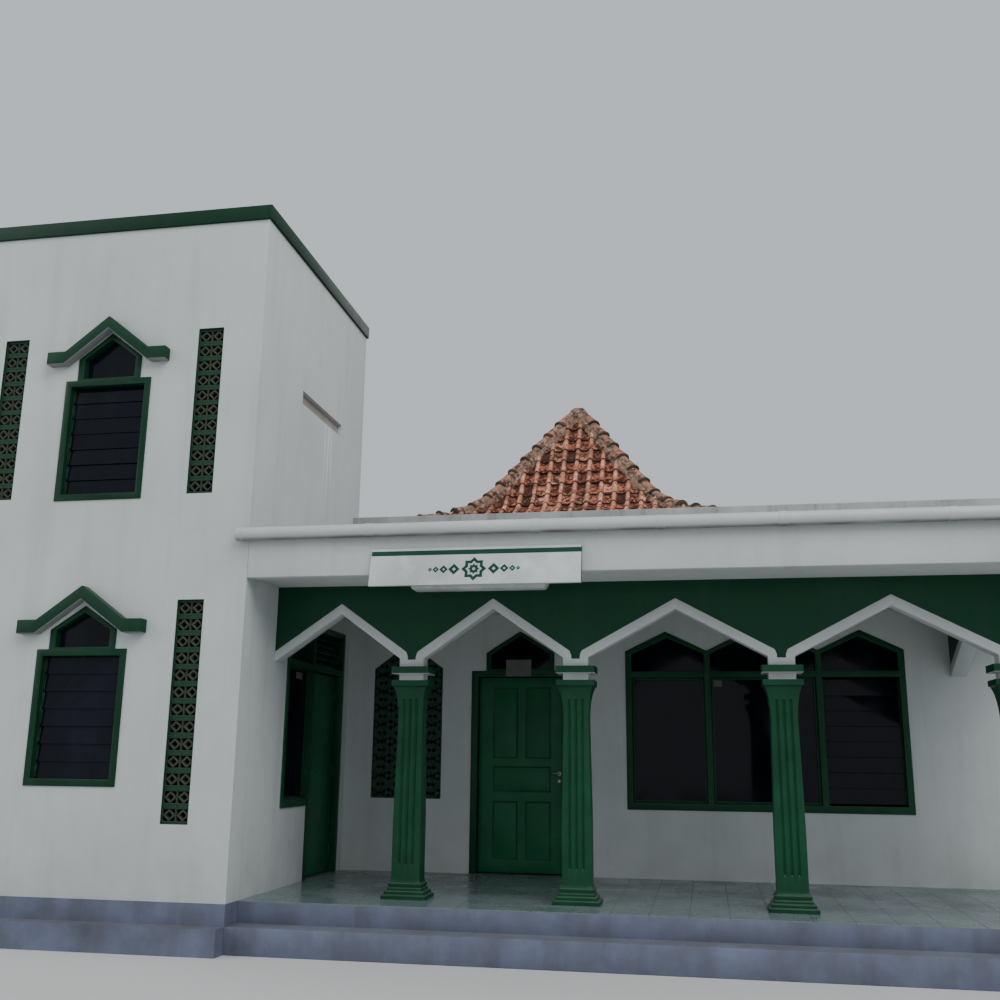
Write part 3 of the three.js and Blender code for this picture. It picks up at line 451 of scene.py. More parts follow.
def glass(name, base):
    """Panes before a dark room, with smears, dust and slight waves."""
    sheet = Sheet(name)
    smears = sheet.span(sheet.noise(3.0, 6, 0.6, sheet.stretched((1, 1, 0.5))), 0.45, 0.8)
    dust = sheet.span(sheet.noise(40, 4, 0.6), 0.5, 0.8)
    shade = sheet.blend(base, (0.030, 0.040, 0.065), sheet.times(smears, 0.18))
    shade = sheet.blend(shade, (0.10, 0.10, 0.095), sheet.times(dust, 0.03))
    waves = sheet.bump(sheet.noise(2.2, 2), 0.002, 0.25)
    return sheet.close(shade, sheet.span(smears, 0, 1, 0.05, 0.22), waves, 0.17)


def baked(sheet, shade, fine_shade, relief, scale, roughness):
    """Closes a clay finish with fine dark grain and a rough surface."""
    fine = sheet.noise(85, 5, 0.6)
    shade = sheet.blend(shade, fine_shade, sheet.span(fine, 0.42, 0.8, 0.0, 0.35))
    normal = sheet.bump(sheet.noise(scale, 5), relief, 0.6)
    return sheet.close(shade, roughness, sheet.bump(fine, 0.0015, 0.7, normal), 0.15)


def clay(name, base, pale, dark):
    """Weathered roof tiles: each has its own tone, pans are sooty, rolls are worn bright and take a painted
    highlight, and painted shadow lies under each lap and along each lower edge.
    """
    sheet = Sheet(name)
    tone, crest, foot = (sheet.attribute(key) for key in TILE_LAYERS)
    roll = sheet.span(crest, 0.45, 0.85)
    pan = sheet.span(crest, 0.10, 0.55, 1.0, 0.0)
    shade = sheet.blend(dark, base, sheet.span(tone, 0.0, 0.42))
    shade = sheet.blend(shade, pale, sheet.span(tone, 0.55, 1.0, 0.0, 0.75))
    # Rolls are worn bright and take a painted highlight of sunlight in the pale clay
    rolls_worn_and_sunlit = sheet.times(sheet.span(sheet.noise(9, 5), 0.36, 0.54), sheet.times(roll, 0.95))
    shade = sheet.blend(shade, pale, rolls_worn_and_sunlit)
    large = sheet.span(sheet.noise(1.9, 5), 0.47, 0.66, 0.0, 0.60)
    shade = sheet.blend(shade, (0.045, 0.026, 0.021), large)
    soot = sheet.noise(11.0, 8, 0.74, None, 1.0)
    soot = sheet.times(sheet.span(soot, 0.465, 0.510), sheet.span(pan, 0, 1, 0.42, 0.97))
    shade = sheet.blend(shade, (0.034, 0.017, 0.013), soot)
    # Painted shadow, with some dirt, on each pan's upper part under the tile that laps over it
    lap = sheet.times(sheet.span(foot, 0.19, 0.42, 0.85, 0.0), sheet.span(pan, 0, 1, 0.35, 1.0))
    shade = sheet.blend(shade, (0.026, 0.014, 0.011), lap)
    lichen = sheet.span(sheet.noise(21.0, 8, 0.7), 0.60, 0.66, 0.0, 0.60)
    shade = sheet.blend(shade, (0.50, 0.39, 0.29), lichen)
    # Painted shadow along each tile's lower edge, weaker on the rolls
    edge = sheet.times(sheet.span(foot, 0.93, 1.0), sheet.span(roll, 0, 1, 0.90, 0.60))
    shade = sheet.blend(shade, (0.022, 0.013, 0.011), edge)
    return baked(sheet, shade, dimmed(base, 0.40), 0.006, 24, 0.90)


def hip_clay(name, base, grey):
    """Half-round tiles of the hips, grey with lichen on their flanks and redder on top."""
    sheet = Sheet(name)
    tone = sheet.attribute("tone")
    top = sheet.span(sheet.attribute("crest"), 0.40, 0.85)
    shade = sheet.blend(grey, base, sheet.plus(sheet.times(top, 0.55), sheet.times(tone, 0.45)))
    patches = sheet.span(sheet.noise(7.0, 7, 0.65), 0.47, 0.56, 0.0, 0.70)
    shade = sheet.blend(shade, grey, patches)
    pale = sheet.span(sheet.noise(15.0, 7, 0.7), 0.53, 0.60, 0.0, 0.55)
    shade = sheet.blend(shade, (0.58, 0.45, 0.34), pale)
    soot = sheet.span(sheet.noise(10.0, 8, 0.74, None, 1.0), 0.50, 0.555, 0.0, 0.90)
    shade = sheet.blend(shade, (0.045, 0.030, 0.024), soot)
    return baked(sheet, shade, dimmed(grey, 0.4), 0.008, 22, 0.92)


def stone(name, base, dark, scale=6.0):
    """Bare mortar or concrete with stains, pits and lichen."""
    sheet = Sheet(name)
    clouds = sheet.span(sheet.noise(scale * 0.35, 7, 0.6), 0.35, 0.75)
    shade = sheet.blend(base, dark, clouds)
    runs = sheet.noise(1.0, 6, 0.6, sheet.stretched((9.0, 9.0, 0.6)))
    shade = sheet.blend(shade, dimmed(dark, 0.5), sheet.span(runs, 0.52, 0.75, 0.0, 0.6))
    lichen = sheet.span(sheet.noise(scale * 3, 7, 0.7), 0.58, 0.68, 0.0, 0.4)
    shade = sheet.blend(shade, (0.30, 0.29, 0.25), lichen)
    pits = sheet.span(sheet.pits(90), 0.0, 0.25, 1.0, 0.0)
    shade = sheet.blend(shade, dimmed(dark, 0.4), sheet.times(pits, 0.4))
    normal = sheet.bump(sheet.noise(scale * 4, 6, 0.65), 0.006, 0.6)
    return sheet.close(shade, 0.92, sheet.bump(sheet.noise(120, 4), 0.001, 0.7, normal), 0.2)


def stained_pipe(name, base):
    """White round gutter, brown with dirt and a painted shadow along its underside."""
    sheet = Sheet(name)
    # The very underside turns brown: dirt along it, and a painted shadow line under the pipe
    under = sheet.span(sheet.facing("Z"), -0.62, -0.95)
    runs = sheet.noise(1.0, 5, 0.6, sheet.stretched((2.5, 9.0, 9.0)))
    under = sheet.times(under, sheet.span(runs, 0.25, 0.6, 0.35, 0.90))
    shade = sheet.blend(base, dimmed(base, 0.88), sheet.span(sheet.noise(1.3, 5), 0.35, 0.7))
    shade = sheet.blend(shade, (0.085, 0.068, 0.050), under)
    top = sheet.times(sheet.span(sheet.facing("Z"), 0.6, 1.0), sheet.span(runs, 0.4, 0.7, 0.1, 0.5))
    shade = sheet.blend(shade, (0.20, 0.19, 0.16), top)
    return sheet.close(shade, 0.45, sheet.bump(sheet.noise(14, 3), 0.002, 0.4), 0.35)


def ceramic(name, base):
    """Glazed floor tiles under a little dust."""
    sheet = Sheet(name)
    mottled = sheet.span(sheet.noise(30, 5), 0.3, 0.7)
    shade = sheet.blend(base, dimmed(base, 0.8), mottled)
    dust = sheet.span(sheet.noise(2.0, 6), 0.4, 0.75)
    shade = sheet.blend(shade, (0.20, 0.195, 0.18), sheet.times(dust, 0.35))
    rough = sheet.span(dust, 0, 1, 0.16, 0.5)
    return sheet.close(shade, rough, sheet.bump(sheet.noise(4, 2), 0.0006, 0.3), 0.5)


def metal(name):
    """Brushed metal with fine scratches."""
    sheet = Sheet(name)
    sheet.fill(sheet.shader, {"Metallic": 1.0})
    scratches = sheet.noise(90, 4, 0.6, sheet.stretched((1, 1, 8)))
    shade = sheet.blend((0.30, 0.30, 0.285), (0.15, 0.145, 0.135), sheet.span(scratches, 0.4, 0.7))
    rough = sheet.span(scratches, 0.3, 0.7, 0.25, 0.45)
    return sheet.close(shade, rough, sheet.bump(scratches, 0.0002, 0.5))


# The finishes made so far, by their slot
MADE = {}


def recipe(slot):
    """How a finish is made: its function and what that takes after the name."""
    look = bpy.context.scene.mosque_finishes
    white, green = tuple(look.white), tuple(look.green)
    return {
        "white_render": (plaster, white),
        "side_render": (plaster, white, WALL_DIRT, 0.85, 1.0, True),
        # The hoods' undersides: white dimmed to 0.42 as painted shade, with brownish dirt
        "hood_soffit": (plaster, dimmed(white, 0.42), (0.17, 0.15, 0.12), 0.9, 1.2),
        "worn_green": (plaster, (0.050, 0.060, 0.044), (0.13, 0.12, 0.095), 0.8, 1.2),
        "hood_green": (plaster, dimmed(green, 0.70), GREEN_DIRT, 0.55, 0.7),
        # The wing roof's edges: green dimmed to half as painted shade of the trees over them
        "edge_green": (plaster, dimmed(green, 0.50), GREEN_DIRT, 0.55, 0.7),
        "pierced_green": (plaster, (0.021, 0.062, 0.042), (0.09, 0.10, 0.085), 0.6, 1.3),
        "hip_tile": (hip_clay, (0.56, 0.215, 0.135), (0.195, 0.140, 0.105)),
        "hip_bed": (hip_clay, (0.40, 0.22, 0.14), (0.25, 0.160, 0.108)),
        "flat_roof": (stone, (0.33, 0.34, 0.33), (0.18, 0.185, 0.175), 3.0),
        "slot_stone": (stone, (0.40, 0.38, 0.34), (0.24, 0.22, 0.19), 8.0),
        "soffit": (plaster, dimmed(white, 0.95), WALL_DIRT, 0.9, 0.6),
        "green_render": (plaster, dimmed(green, 0.85), GREEN_DIRT, 0.55, 0.7),
        "white_band": (plaster, dimmed(white, 0.98), (0.30, 0.30, 0.28), 0.7, 0.7),
        "green_paint": (enamel, green),
        "frame_green": (enamel, dimmed(green, 0.62)),
        # Green paint nearly twice as bright on the door leaves, as painted light from the floor and sky
        "door_green": (enamel, dimmed(green, 1.95)),
        # A darker green in the door's grooves, as painted shade
        "groove_green": (enamel, dimmed(green, 1.20), 0.5, 0.10),
        "louvre_green": (enamel, dimmed(green, 0.6), 0.5, 0.25),
        "sign_green": (enamel, (0.009, 0.062, 0.040), 0.3, 0.04),
        "dark_glass": (glass, look.glass),
        "roof_tile": (clay, look.clay, look.pale_and_sunlit_clay, look.burnt_clay),
        "grey_plinth": (plaster, look.plinth, (0.06, 0.055, 0.05), 0.6, 1.6),
        "floor_tile": (ceramic, look.floor),
        "concrete": (stone, look.concrete, dimmed(look.concrete, 0.60)),
        # Dark mortar of the roof's bed and the hip collars; on the collars its darkness also stands for
        # painted shadow under each tile's foot
        "mortar": (stone, (0.105, 0.078, 0.060), (0.045, 0.034, 0.028), 14.0),
        "white_pipe": (stained_pipe, dimmed(white, 0.92)),
        "sign_white": (enamel, dimmed(white, 1.06), 0.3, 0.10),
        "notice": (enamel, (0.15, 0.155, 0.145), 0.5, 0.4),
        "handle_metal": (metal,),
    }[slot]


def finish(slot):
    """The finish of a slot, made the first time it is asked for."""
    if slot not in MADE:
        make, *values = recipe(slot)
        MADE[slot] = make(slot, *values)
    return MADE[slot]


# Settings

def paint_property(name, description, default):
    return FloatVectorProperty(name=name, description=description, subtype="COLOR", size=3,
                               min=0, max=1, default=default)


def length_property(name, description, default):
    return FloatProperty(name=name, description=description, default=default, min=0.0005,
                         unit="LENGTH", precision=4)


class MosqueFinishes(bpy.types.PropertyGroup):
    """Colours of the building's finishes."""

    white: paint_property("White render", "Paint of the walls", (0.54, 0.57, 0.568))
    green: paint_property("Green", "Paint of arcade, columns and frames", (0.0050, 0.060, 0.026))
    glass: paint_property("Glass", "Panes with a dark room behind them", (0.003, 0.004, 0.008))
    clay: paint_property("Clay", "Most of the roof tiles", (0.48, 0.160, 0.092))
    # Brighter than clay can be: it stands for faded tiles and for painted sunlight on the roof
    pale_and_sunlit_clay: paint_property("Pale clay", "Faded roof tiles", (1.0, 0.50, 0.335))
    burnt_clay: paint_property("Burnt clay", "Darkest roof tiles", (0.10, 0.040, 0.029))
    plinth: paint_property("Plinth", "Blue-grey paint of the base", (0.168, 0.194, 0.286))
    floor: paint_property("Floor tiles", "Glazed tiles of the veranda", (0.15, 0.20, 0.205))
    concrete: paint_property("Concrete", "Bare band of the parapet", (0.40, 0.42, 0.41))


class MosqueRoof(bpy.types.PropertyGroup):
    """Sizes of the tiled roof."""

    tile_width: length_property("Tile width", "From one roll to the next", 0.195)
    tile_exposure: length_property("Course", "Visible length of a tile", 0.253)
    tile_thickness: length_property("Thickness", "Thickness of a tile", 0.014)
    roll_height: length_property("Roll", "Height of a tile's roll over its pan", 0.052)
    barrel_radius: length_property("Hip tile radius", "Radius of a hip tile's lower end", 0.104)
    barrel_exposure: length_property("Hip tile length", "Visible length of a hip tile", 0.32)
    seed: IntProperty(name="Seed", description="Start of the tiles' small differences", default=7)


class MosqueColumns(bpy.types.PropertyGroup):
    """Sizes of the fluted columns."""

    groove_width: length_property("Groove", "Width of a groove", 0.023)
    groove_depth: length_property("Groove depth", "Depth of a groove", 0.012)
    groove_spacing: length_property("Groove spacing", "Between two grooves' middles", 0.056)
    groove_top: length_property("Groove top", "Height of the grooves' upper ends", 1.645)
    groove_foot: length_property("Groove foot", "Height of the grooves' lower ends", 0.27)


class MosqueOpenings(bpy.types.PropertyGroup):
    """Sizes in the windows, doors and pierced panels."""

    blade_count: IntProperty(name="Blades", description="Glass blades in a wing window", default=7, min=3)
    blade_tilt: FloatProperty(name="Blade tilt", description="How far the blades lean inwards",
                              subtype="ANGLE", default=math.radians(5))
    blade_thickness: length_property("Blade thickness", "Thickness of a glass blade", 0.005)
    slat_count: IntProperty(name="Slats", description="Slats over the side door", default=5, min=2)
    block_opening: length_property("Block opening", "Half width of a pierced block's opening", 0.0545)
    panel_depth: length_property("Door panel depth", "Depth of the grooves round a door's panels", 0.013)
    sash_border: length_property("Sash", "Border of the sashes in the triple window", 0.023)


class MosqueVerandaSizes(bpy.types.PropertyGroup):
    """Sizes on the veranda."""

    gutter_radius: length_property("Gutter radius", "Radius of the round gutter", 0.06)
    sign_stripe: length_property("Stripe", "Height of the stripe along the sign's head", 0.041)
    floor_tile: length_property("Floor tile", "Side of a floor tile", 0.30)
    floor_joint: length_property("Floor joint", "Width of the joints between floor tiles", 0.003)


class MosqueStage(bpy.types.PropertyGroup):
    """Camera, light and floor."""

    lens: FloatProperty(name="Lens", description="Focal length in mm on a 36 mm sensor",
                        default=38.817, min=10)
    key_power: FloatProperty(name="Key light", description="Power of the large front light in watts",
                             default=2600, min=0)
    sky_strength: FloatProperty(name="Sky", description="Strength of the even light from all round",
                                default=0.72, min=0)
    floor_size: length_property("Floor", "Width of the stage floor", 90.0)


# Walls

class MosqueWalls(bpy.types.Operator):
    """Give walls, slabs and bases their finishes, and lay the veranda's floor"""

    bl_idname = "mosque.walls"
    bl_label = "Walls and bases"

    def execute(self, context):
        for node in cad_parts:
            if "wall" in node and not node.startswith("arcade"):
                coat(node, "side_render" if node == "wing_side_wall_upper" else "white_render")
        for node, slot in (("wing_base", "grey_plinth"), ("hall_base", "grey_plinth"),
                           ("wing_upper_floor", "concrete"), ("side_slot_slab", "slot_stone")):
            coat(node, slot)
        # The wing roof's edges take a green darkened as painted tree shade, the canopy's the soffit white
        for node, edge in (("wing_roof", "edge_green"), ("veranda_roof", "soffit")):
            bm = copy_of(node, 0.006)
            colour_faces(bm, lambda face: face.normal.z > 0.8, 1)
            finish_piece(f"{node}_slab", bm, [edge, "flat_roof"], [node])
        dress("hall_parapet_band", "parapet_band", "concrete", 0.006)
        self.lay_floor(context.scene.mosque_veranda)
        return {"FINISHED"}

    def lay_floor(self, sizes):
        """The veranda's ledge and floor, with glazed tiles on top."""
        bed = -0.004
        bm = bmesh.new()
        block(bm, (0.0, HALL_RIGHT), (0.0, HALL_FRONT), (GROUND, LEDGE_TOP))
        block(bm, (0.0, FLOOR_RIGHT), (FLOOR_FRONT, HALL_FRONT), (LEDGE_TOP - 0.01, bed))
        soften(bm, 0.006)
        tiles = bmesh.new()
        pitch = sizes.floor_tile + sizes.floor_joint
        for column in range(math.ceil(FLOOR_RIGHT / pitch)):
            for row in range(math.ceil((HALL_FRONT - FLOOR_FRONT) / pitch)):
                x, y = column * pitch, FLOOR_FRONT + row * pitch
                right = min(x + sizes.floor_tile, FLOOR_RIGHT)
                back = min(y + sizes.floor_tile, HALL_FRONT)
                if right - x > 0.01 and back - y > 0.01:
                    block(tiles, (x, right), (y, back), (-0.010, 0.0))
        soften(tiles, 0.0015, 1)
        join(bm, tiles, material=1)
        finish_piece("veranda_floor", bm, ["grey_plinth", "floor_tile"], ["veranda_base"])


# Windows of the wing

def louvre(bm, xs, y, zs, count, sizes, dice, glass_finish=0, metal_finish=1):
    """Glass blades that lean inwards a little, in clips between two upright channels."""
    pitch = (zs[1] - zs[0]) / count
    reach = (xs[1] - xs[0]) / 2 - 0.012
    thin, lap, clip = sizes.blade_thickness / 2, 0.006, 0.42
    for index in range(count):
        tilt = sizes.blade_tilt + math.radians(dice.uniform(-2.5, 2.5))
        place = (Matrix.Translation(((xs[0] + xs[1]) / 2, y, zs[0] + (index + 0.5) * pitch))
                 @ Matrix.Rotation(-tilt, 4, "X"))
        soft_block(bm, (-reach, reach), (-thin, thin), (-pitch / 2 - lap, pitch / 2 + lap),
                   0.001, 1, place, glass_finish)
        for end in (-reach, reach):
            soft_block(bm, (end - 0.006, end + 0.006), (-0.007, 0.007), (-pitch * clip, pitch * clip),
                       0.002, 1, place, metal_finish)
    for x in (xs[0] + 0.004, xs[1] - 0.004):
        soft_block(bm, (x - 0.004, x + 0.004), (y - 0.022, y + 0.022), zs, 0.0015, 1, None, metal_finish)


class MosqueWingWindows(bpy.types.Operator):
    """Build the louvred windows, their hoods and the pierced strips of the wing's front"""

    bl_idname = "mosque.wing_windows"
    bl_label = "Wing windows"

    def execute(self, context):
        sizes = context.scene.mosque_openings
        dice = random.Random(11)
        for name, window in WINDOWS.items():
            dress(f"{name}_frame", f"{name}_surround", "frame_green", 0.004)
            self.add_blades(name, window, sizes, dice)
            hood = copy_of(f"{name}_hood", 0.009, 3)
            # Faces turned down take the hood underside finish, whose white is darkened as painted shade
            colour_faces(hood, lambda face: face.normal.z < -0.45, 1)
            finish_piece(f"{name}_hood_slab", hood, ["hood_green", "hood_soffit"], [f"{name}_hood"])
        for name, strip in STRIPS.items():
            self.add_strip(name, strip, sizes)
        return {"FINISHED"}

    def add_blades(self, name, window, sizes, dice):
        """A louvre below the transom and a fixed pane in the head."""
        half, head_half, border = 0.362, 0.256, 0.058
        bm = bmesh.new()
        louvre(bm, (WING_CENTRE - half, WING_CENTRE + half), 0.052,
               (window["sill"] + border, window["transom"] - border), sizes.blade_count, sizes, dice)
        left, right = WING_CENTRE - head_half, WING_CENTRE + head_half
        foot, shoulder, apex = window["transom"] + 0.013, window["shoulder"], window["apex"] - 0.055
        head = bmesh.new()
        slab(head, [(left, foot), (right, foot), (right, shoulder), (WING_CENTRE, apex),
                    (left, shoulder)], "xz", (0.066, 0.071))
        join(bm, head, material=0)
        finish_piece(f"{name}_louvres", bm, ["dark_glass", "louvre_green"], [f"{name}_glass"])

    def add_strip(self, name, strip, sizes):
        """A stack of pierced blocks, each with a diamond ring in a square opening."""
        start, bottom, top, rows = strip
        width, height = STRIP_WIDTH / 2, (top - bottom) / rows
        gap = sizes.block_opening
        low, eye = gap * 0.88, gap * 0.56
        bm = bmesh.new()
        for row in range(rows):
            for column in range(2):
                x, z = start + (column + 0.5) * width, bottom + (row + 0.5) * height
                cell = bmesh.new()
                hollow_slab(cell, rectangle(x - width / 2, x + width / 2, z - height / 2, z + height / 2,
                                            0.0002),
                            rectangle(x - gap, x + gap, z - low, z + low), "xz", (0.020, 0.110))
                colour_faces(cell, lambda face: face.normal.y > -0.5, 1)
                soften(cell, 0.003, 1)
                join(bm, cell)
                ring = bmesh.new()
                hollow_slab(ring, diamond(x, z, gap + 0.002, low + 0.002), diamond(x, z, eye, eye),
                            "xz", (0.026, 0.100))
                soften(ring, 0.003, 2)
                join(bm, ring, material=1)
        outline = (start, start + STRIP_WIDTH, bottom, top)
        hollow_slab(bm, rectangle(*outline, 0.0005), rectangle(*outline, 0.006), "xz", (0.001, 0.021))
        finish_piece(f"{name}_blocks", bm, ["green_render", "worn_green"], [name])


# Door and window group in the veranda's end wall

class MosqueSideUnit(bpy.types.Operator):
    """Build the side door with its window, slatted panels and handle"""

    bl_idname = "mosque.side_unit"
    bl_label = "Side door and window"

    def execute(self, context):
        bm = copy_of("side_door_frame", 0.003)
        light = (*SIDE_LIGHT_YS, 0.7505, 1.9745)
        hollow_slab(bm, rectangle(*light), rectangle(*light, 0.0215), "yz", (-0.050, -0.030))
        finish_piece("side_door_surround", bm, ["green_paint"], ["side_door_frame"])
        self.add_slats(context.scene.mosque_openings.slat_count)
        coat("side_louvre_panel", "louvre_green")
        coat("side_window_glass", "dark_glass")
        add_notice("side_notice_plate")
        leaf = bmesh.new()
        soft_block(leaf, (-0.09785, -0.06015), (1.758, 2.572), (0.014, 1.967), 0.003, 2)
        add_hinges(leaf, -0.056, 2.571, (0.22, 1.0, 1.76))
        add_handle(leaf, Matrix.Translation((-0.06, 1.818, 1.0)) @ Matrix.Rotation(math.pi / 2, 4, "Z"), 1)
        # The leaf's green is brightened as painted light
        finish_piece("side_door_leaf", leaf, ["door_green", "handle_metal"], ["side_door"], "side_leaf")
        return {"FINISHED"}

    def add_slats(self, count):
        """Sloping slats over the window and over the door."""
        bm = bmesh.new()
        bottom, top = 2.035, 2.37
        pitch = (top - bottom) / count
        for ys in (SIDE_LIGHT_YS, (1.7505, 2.5795)):
            for index in range(count):
                place = (Matrix.Translation((-0.052, 0, bottom + (index + 0.5) * pitch))
                         @ Matrix.Rotation(math.radians(-38), 4, "Y"))
                soft_block(bm, (-0.005, 0.005), ys, (-pitch * 0.62, pitch * 0.62), 0.002, 1, place)
        finish_piece("side_slats", bm, ["green_paint"])


def add_notice(name):
    """A bare plate where a notice hangs."""
    bm = bmesh.new()
    soft_block(bm, *NOTICES[name])
    finish_piece(name, bm, ["notice"])


def add_hinges(bm, x, y, heights):
    """Upright hinge barrels along the edge of a leaf."""
    for z in heights:
        rod(bm, [(x, y, z - 0.05), (x, y, z + 0.05)], [0.006, 0.006], 8)


def add_handle(bm, place, side):
    """A short lever on a round rose over a keyhole rose, drawn against a leaf that faces the front."""
    handle = bmesh.new()
    for z, radius in ((0.0, 0.024), (-0.075, 0.018)):
        rod(handle, [(0, 0.001, z), (0, -0.0055, z), (0, -0.0085, z)],
            [radius, radius, radius * 0.82], 20)
    for z, wide, narrow, count in ((-0.067, 0.0045, 0.004, 10), (-0.079, 0.0030, 0.0026, 8)):
        rod(handle, [(0, -0.008, z), (0, -0.0095, z)], [wide, narrow], count)
    bend = [(0, -0.007, 0), (0, -0.030, 0), (side * 0.004, -0.038, 0), (side * 0.012, -0.041, 0),
            (side * 0.040, -0.042, 0.001), (side * 0.062, -0.040, 0.0), (side * 0.068, -0.037, 0.0)]
    rod(handle, bend, [0.0095, 0.0095, 0.010, 0.010, 0.0095, 0.009, 0.005], 14)
    join(bm, handle, place, 1)


# Openings in the hall's front wall

class MosqueHallFront(bpy.types.Operator):
    """Build the front door, the light over it, the pierced window and the triple windows"""

    bl_idname = "mosque.hall_front"
    bl_label = "Hall doors and windows"

    def execute(self, context):
        sizes = context.scene.mosque_openings
        dress("front_door_frame", "front_door_surround", "green_paint", 0.004)
        coat("front_fanlight_glass", "dark_glass")
        self.add_front_leaf(sizes.panel_depth)
        add_notice("front_notice_plate")
        self.add_pierced_window()
        self.add_triple_windows(sizes)
        return {"FINISHED"}

    def add_front_leaf(self, panel_depth):
        """The leaf with grooves round its five panels on both faces, its hinges and its handle."""
        bm = bmesh.new()
        block(bm, (1.451, 2.349), (2.8772, 2.9148), (0.0142, 1.9808))
        left, mid_left, mid_right, right = PANEL_XS
        score(bm, (1, 0, 0), PANEL_XS)
        score(bm, (0, 0, 1), PANEL_ZS)
        bm.normal_update()
        pair = ((left, mid_left), (mid_right, right))
        panels = [(xs, PANEL_ZS[4:6]) for xs in pair] + [((left, right), PANEL_ZS[2:4])]
        panels += [(xs, PANEL_ZS[0:2]) for xs in pair]
        # The three groove steps take finish 2, green darkened as painted shade
        steps = ((0.003, -panel_depth * 0.7, 2), (0.010, -panel_depth * 0.3, 2), (0.004, 0.0, 2),
                 (0.022, panel_depth * 0.75, 0))
        for side in (-1, 1):
            for xs, zs in panels:
                inner = [face for face in bm.faces if face.normal.y * side > 0.99
                         and xs[0] < face.calc_center_median().x < xs[1]
                         and zs[0] < face.calc_center_median().z < zs[1]]
                for width, depth, material in steps:
                    rim = bmesh.ops.inset_region(bm, faces=inner, thickness=width, depth=depth,
                                                 use_even_offset=True, use_boundary=True)["faces"]
                    for face in rim:
                        face.material_index = material
        soften(bm, 0.0015, 2, 35)
        add_hinges(bm, 1.452, 2.874, (0.22, 1.0, 1.78))
        add_handle(bm, Matrix.Translation((2.300, 2.877, 1.0)), -1)
        # The leaf takes green brightened as painted light; its grooves take green darkened as painted shade
        finish_piece("front_door_leaf", bm, ["door_green", "handle_metal", "groove_green"],
                     ["front_door"], "front_leaf")

    def add_pierced_window(self):
        """Rows of pierced blocks under a pointed head, in a thin border."""
        left, right, bottom, shoulder, apex = 0.2975, 1.0555, 0.7305, 2.080, 2.3535
        middle = (left + right) / 2
        first_x, first_z, width, height = left + 0.003, 0.6948, 0.183, 0.1762
        rows, columns = 10, 4
        bm = bmesh.new()
        for row in range(rows):
            for column in range(columns):
                part = bmesh.new()
                flower_block(part, first_x + (column + 0.5) * width, first_z + (row + 0.5) * height,
                             width - 0.0006, height - 0.0006, (2.838, 2.926))
                soften(part, 0.0035, 2, 40)
                join(bm, part)
        block(bm, (first_x + columns * width, right - 0.001), (2.842, 2.922), (bottom + 0.001, 2.17))
        cut_off(bm, (0, 0, bottom + 0.0005), (0, 0, -1))
        rise, run = apex - shoulder, middle - left
        for side in (-1, 1):
            cut_off(bm, (middle + side * run, 0, shoulder - 0.010), (side * rise, 0, run))

        def outline(edge, foot, head, tip):
            return [(left + edge, bottom + foot), (right - edge, bottom + foot),
                    (right - edge, shoulder - head), (middle, apex - tip), (left + edge, shoulder - head)]
        hollow_slab(bm, outline(0, 0, 0, 0), outline(0.008, 0.012, 0.010, 0.020), "xz", (2.830, 2.934))
        finish_piece("pierced_window_blocks", bm, ["pierced_green"], ["hall_pierced_window"], smooth=30)

    def add_triple_windows(self, sizes):
        """The three-light window of the front and its two like ones in the hall's sides."""
        dice = random.Random(17)
        finish_piece("triple_window_surround", self.lights_frame(sizes), ["green_paint"],
                     ["hall_window_frame"])
        bm = bmesh.new()
        self.glaze_lights(bm, sizes, dice, 0, 1)
        finish_piece("triple_window_panes", bm, ["dark_glass", "louvre_green"], ["hall_window_glass"])
        add_notice("triple_notice_plate")
        set_back = 2.8055
        for node, x, y, angle in (("hall_right_window", HALL_RIGHT + set_back, 3.4195, math.pi / 2),
                                  ("hall_left_window", WING_LEFT - set_back, 12.1845, -math.pi / 2)):
            bm = self.lights_frame(sizes)
            self.glaze_lights(bm, sizes, dice, 1, 2)
            place = Matrix.Translation((x, y, 0)) @ Matrix.Rotation(angle, 4, "Z")
            bmesh.ops.transform(bm, matrix=place, verts=bm.verts)
            finish_piece(f"{node}_lights", bm, ["green_paint", "dark_glass", "louvre_green"], [node])

    def lights_frame(self, sizes):
        """The window's frame, with a sash in its first two lights."""
        bm = copy_of("hall_window_frame", 0.004)
        for x0, x1 in ((3.0625, 3.8025), (3.8655, 4.9045)):
            light = (x0, x1, 0.7315, 1.9765)
            sash = bmesh.new()
            hollow_slab(sash, rectangle(*light), rectangle(*light, sizes.sash_border), "xz",
                        (2.846, 2.872))
            soften(sash, 0.003, 2)
            join(bm, sash)
        return bm

    def glaze_lights(self, bm, sizes, dice, glass_finish, metal_finish):
        """One pane behind the sashes and heads, and a louvre in the third light."""
        pane = bmesh.new()
        slab(pane, [(3.02, 0.68), (4.936, 0.68), (4.936, 1.99), (5.745, 1.99), (5.745, 2.24),
                    (5.3505, 2.425), (4.936, 2.24), (4.385, 2.50), (3.834, 2.24), (3.417, 2.425),
                    (3.02, 2.24)], "xz", (2.876, 2.884))
        join(bm, pane, material=glass_finish)
        louvre(bm, (4.9685, 5.7015), 2.862, (0.755, 1.950), 8, sizes, dice, glass_finish, metal_finish)


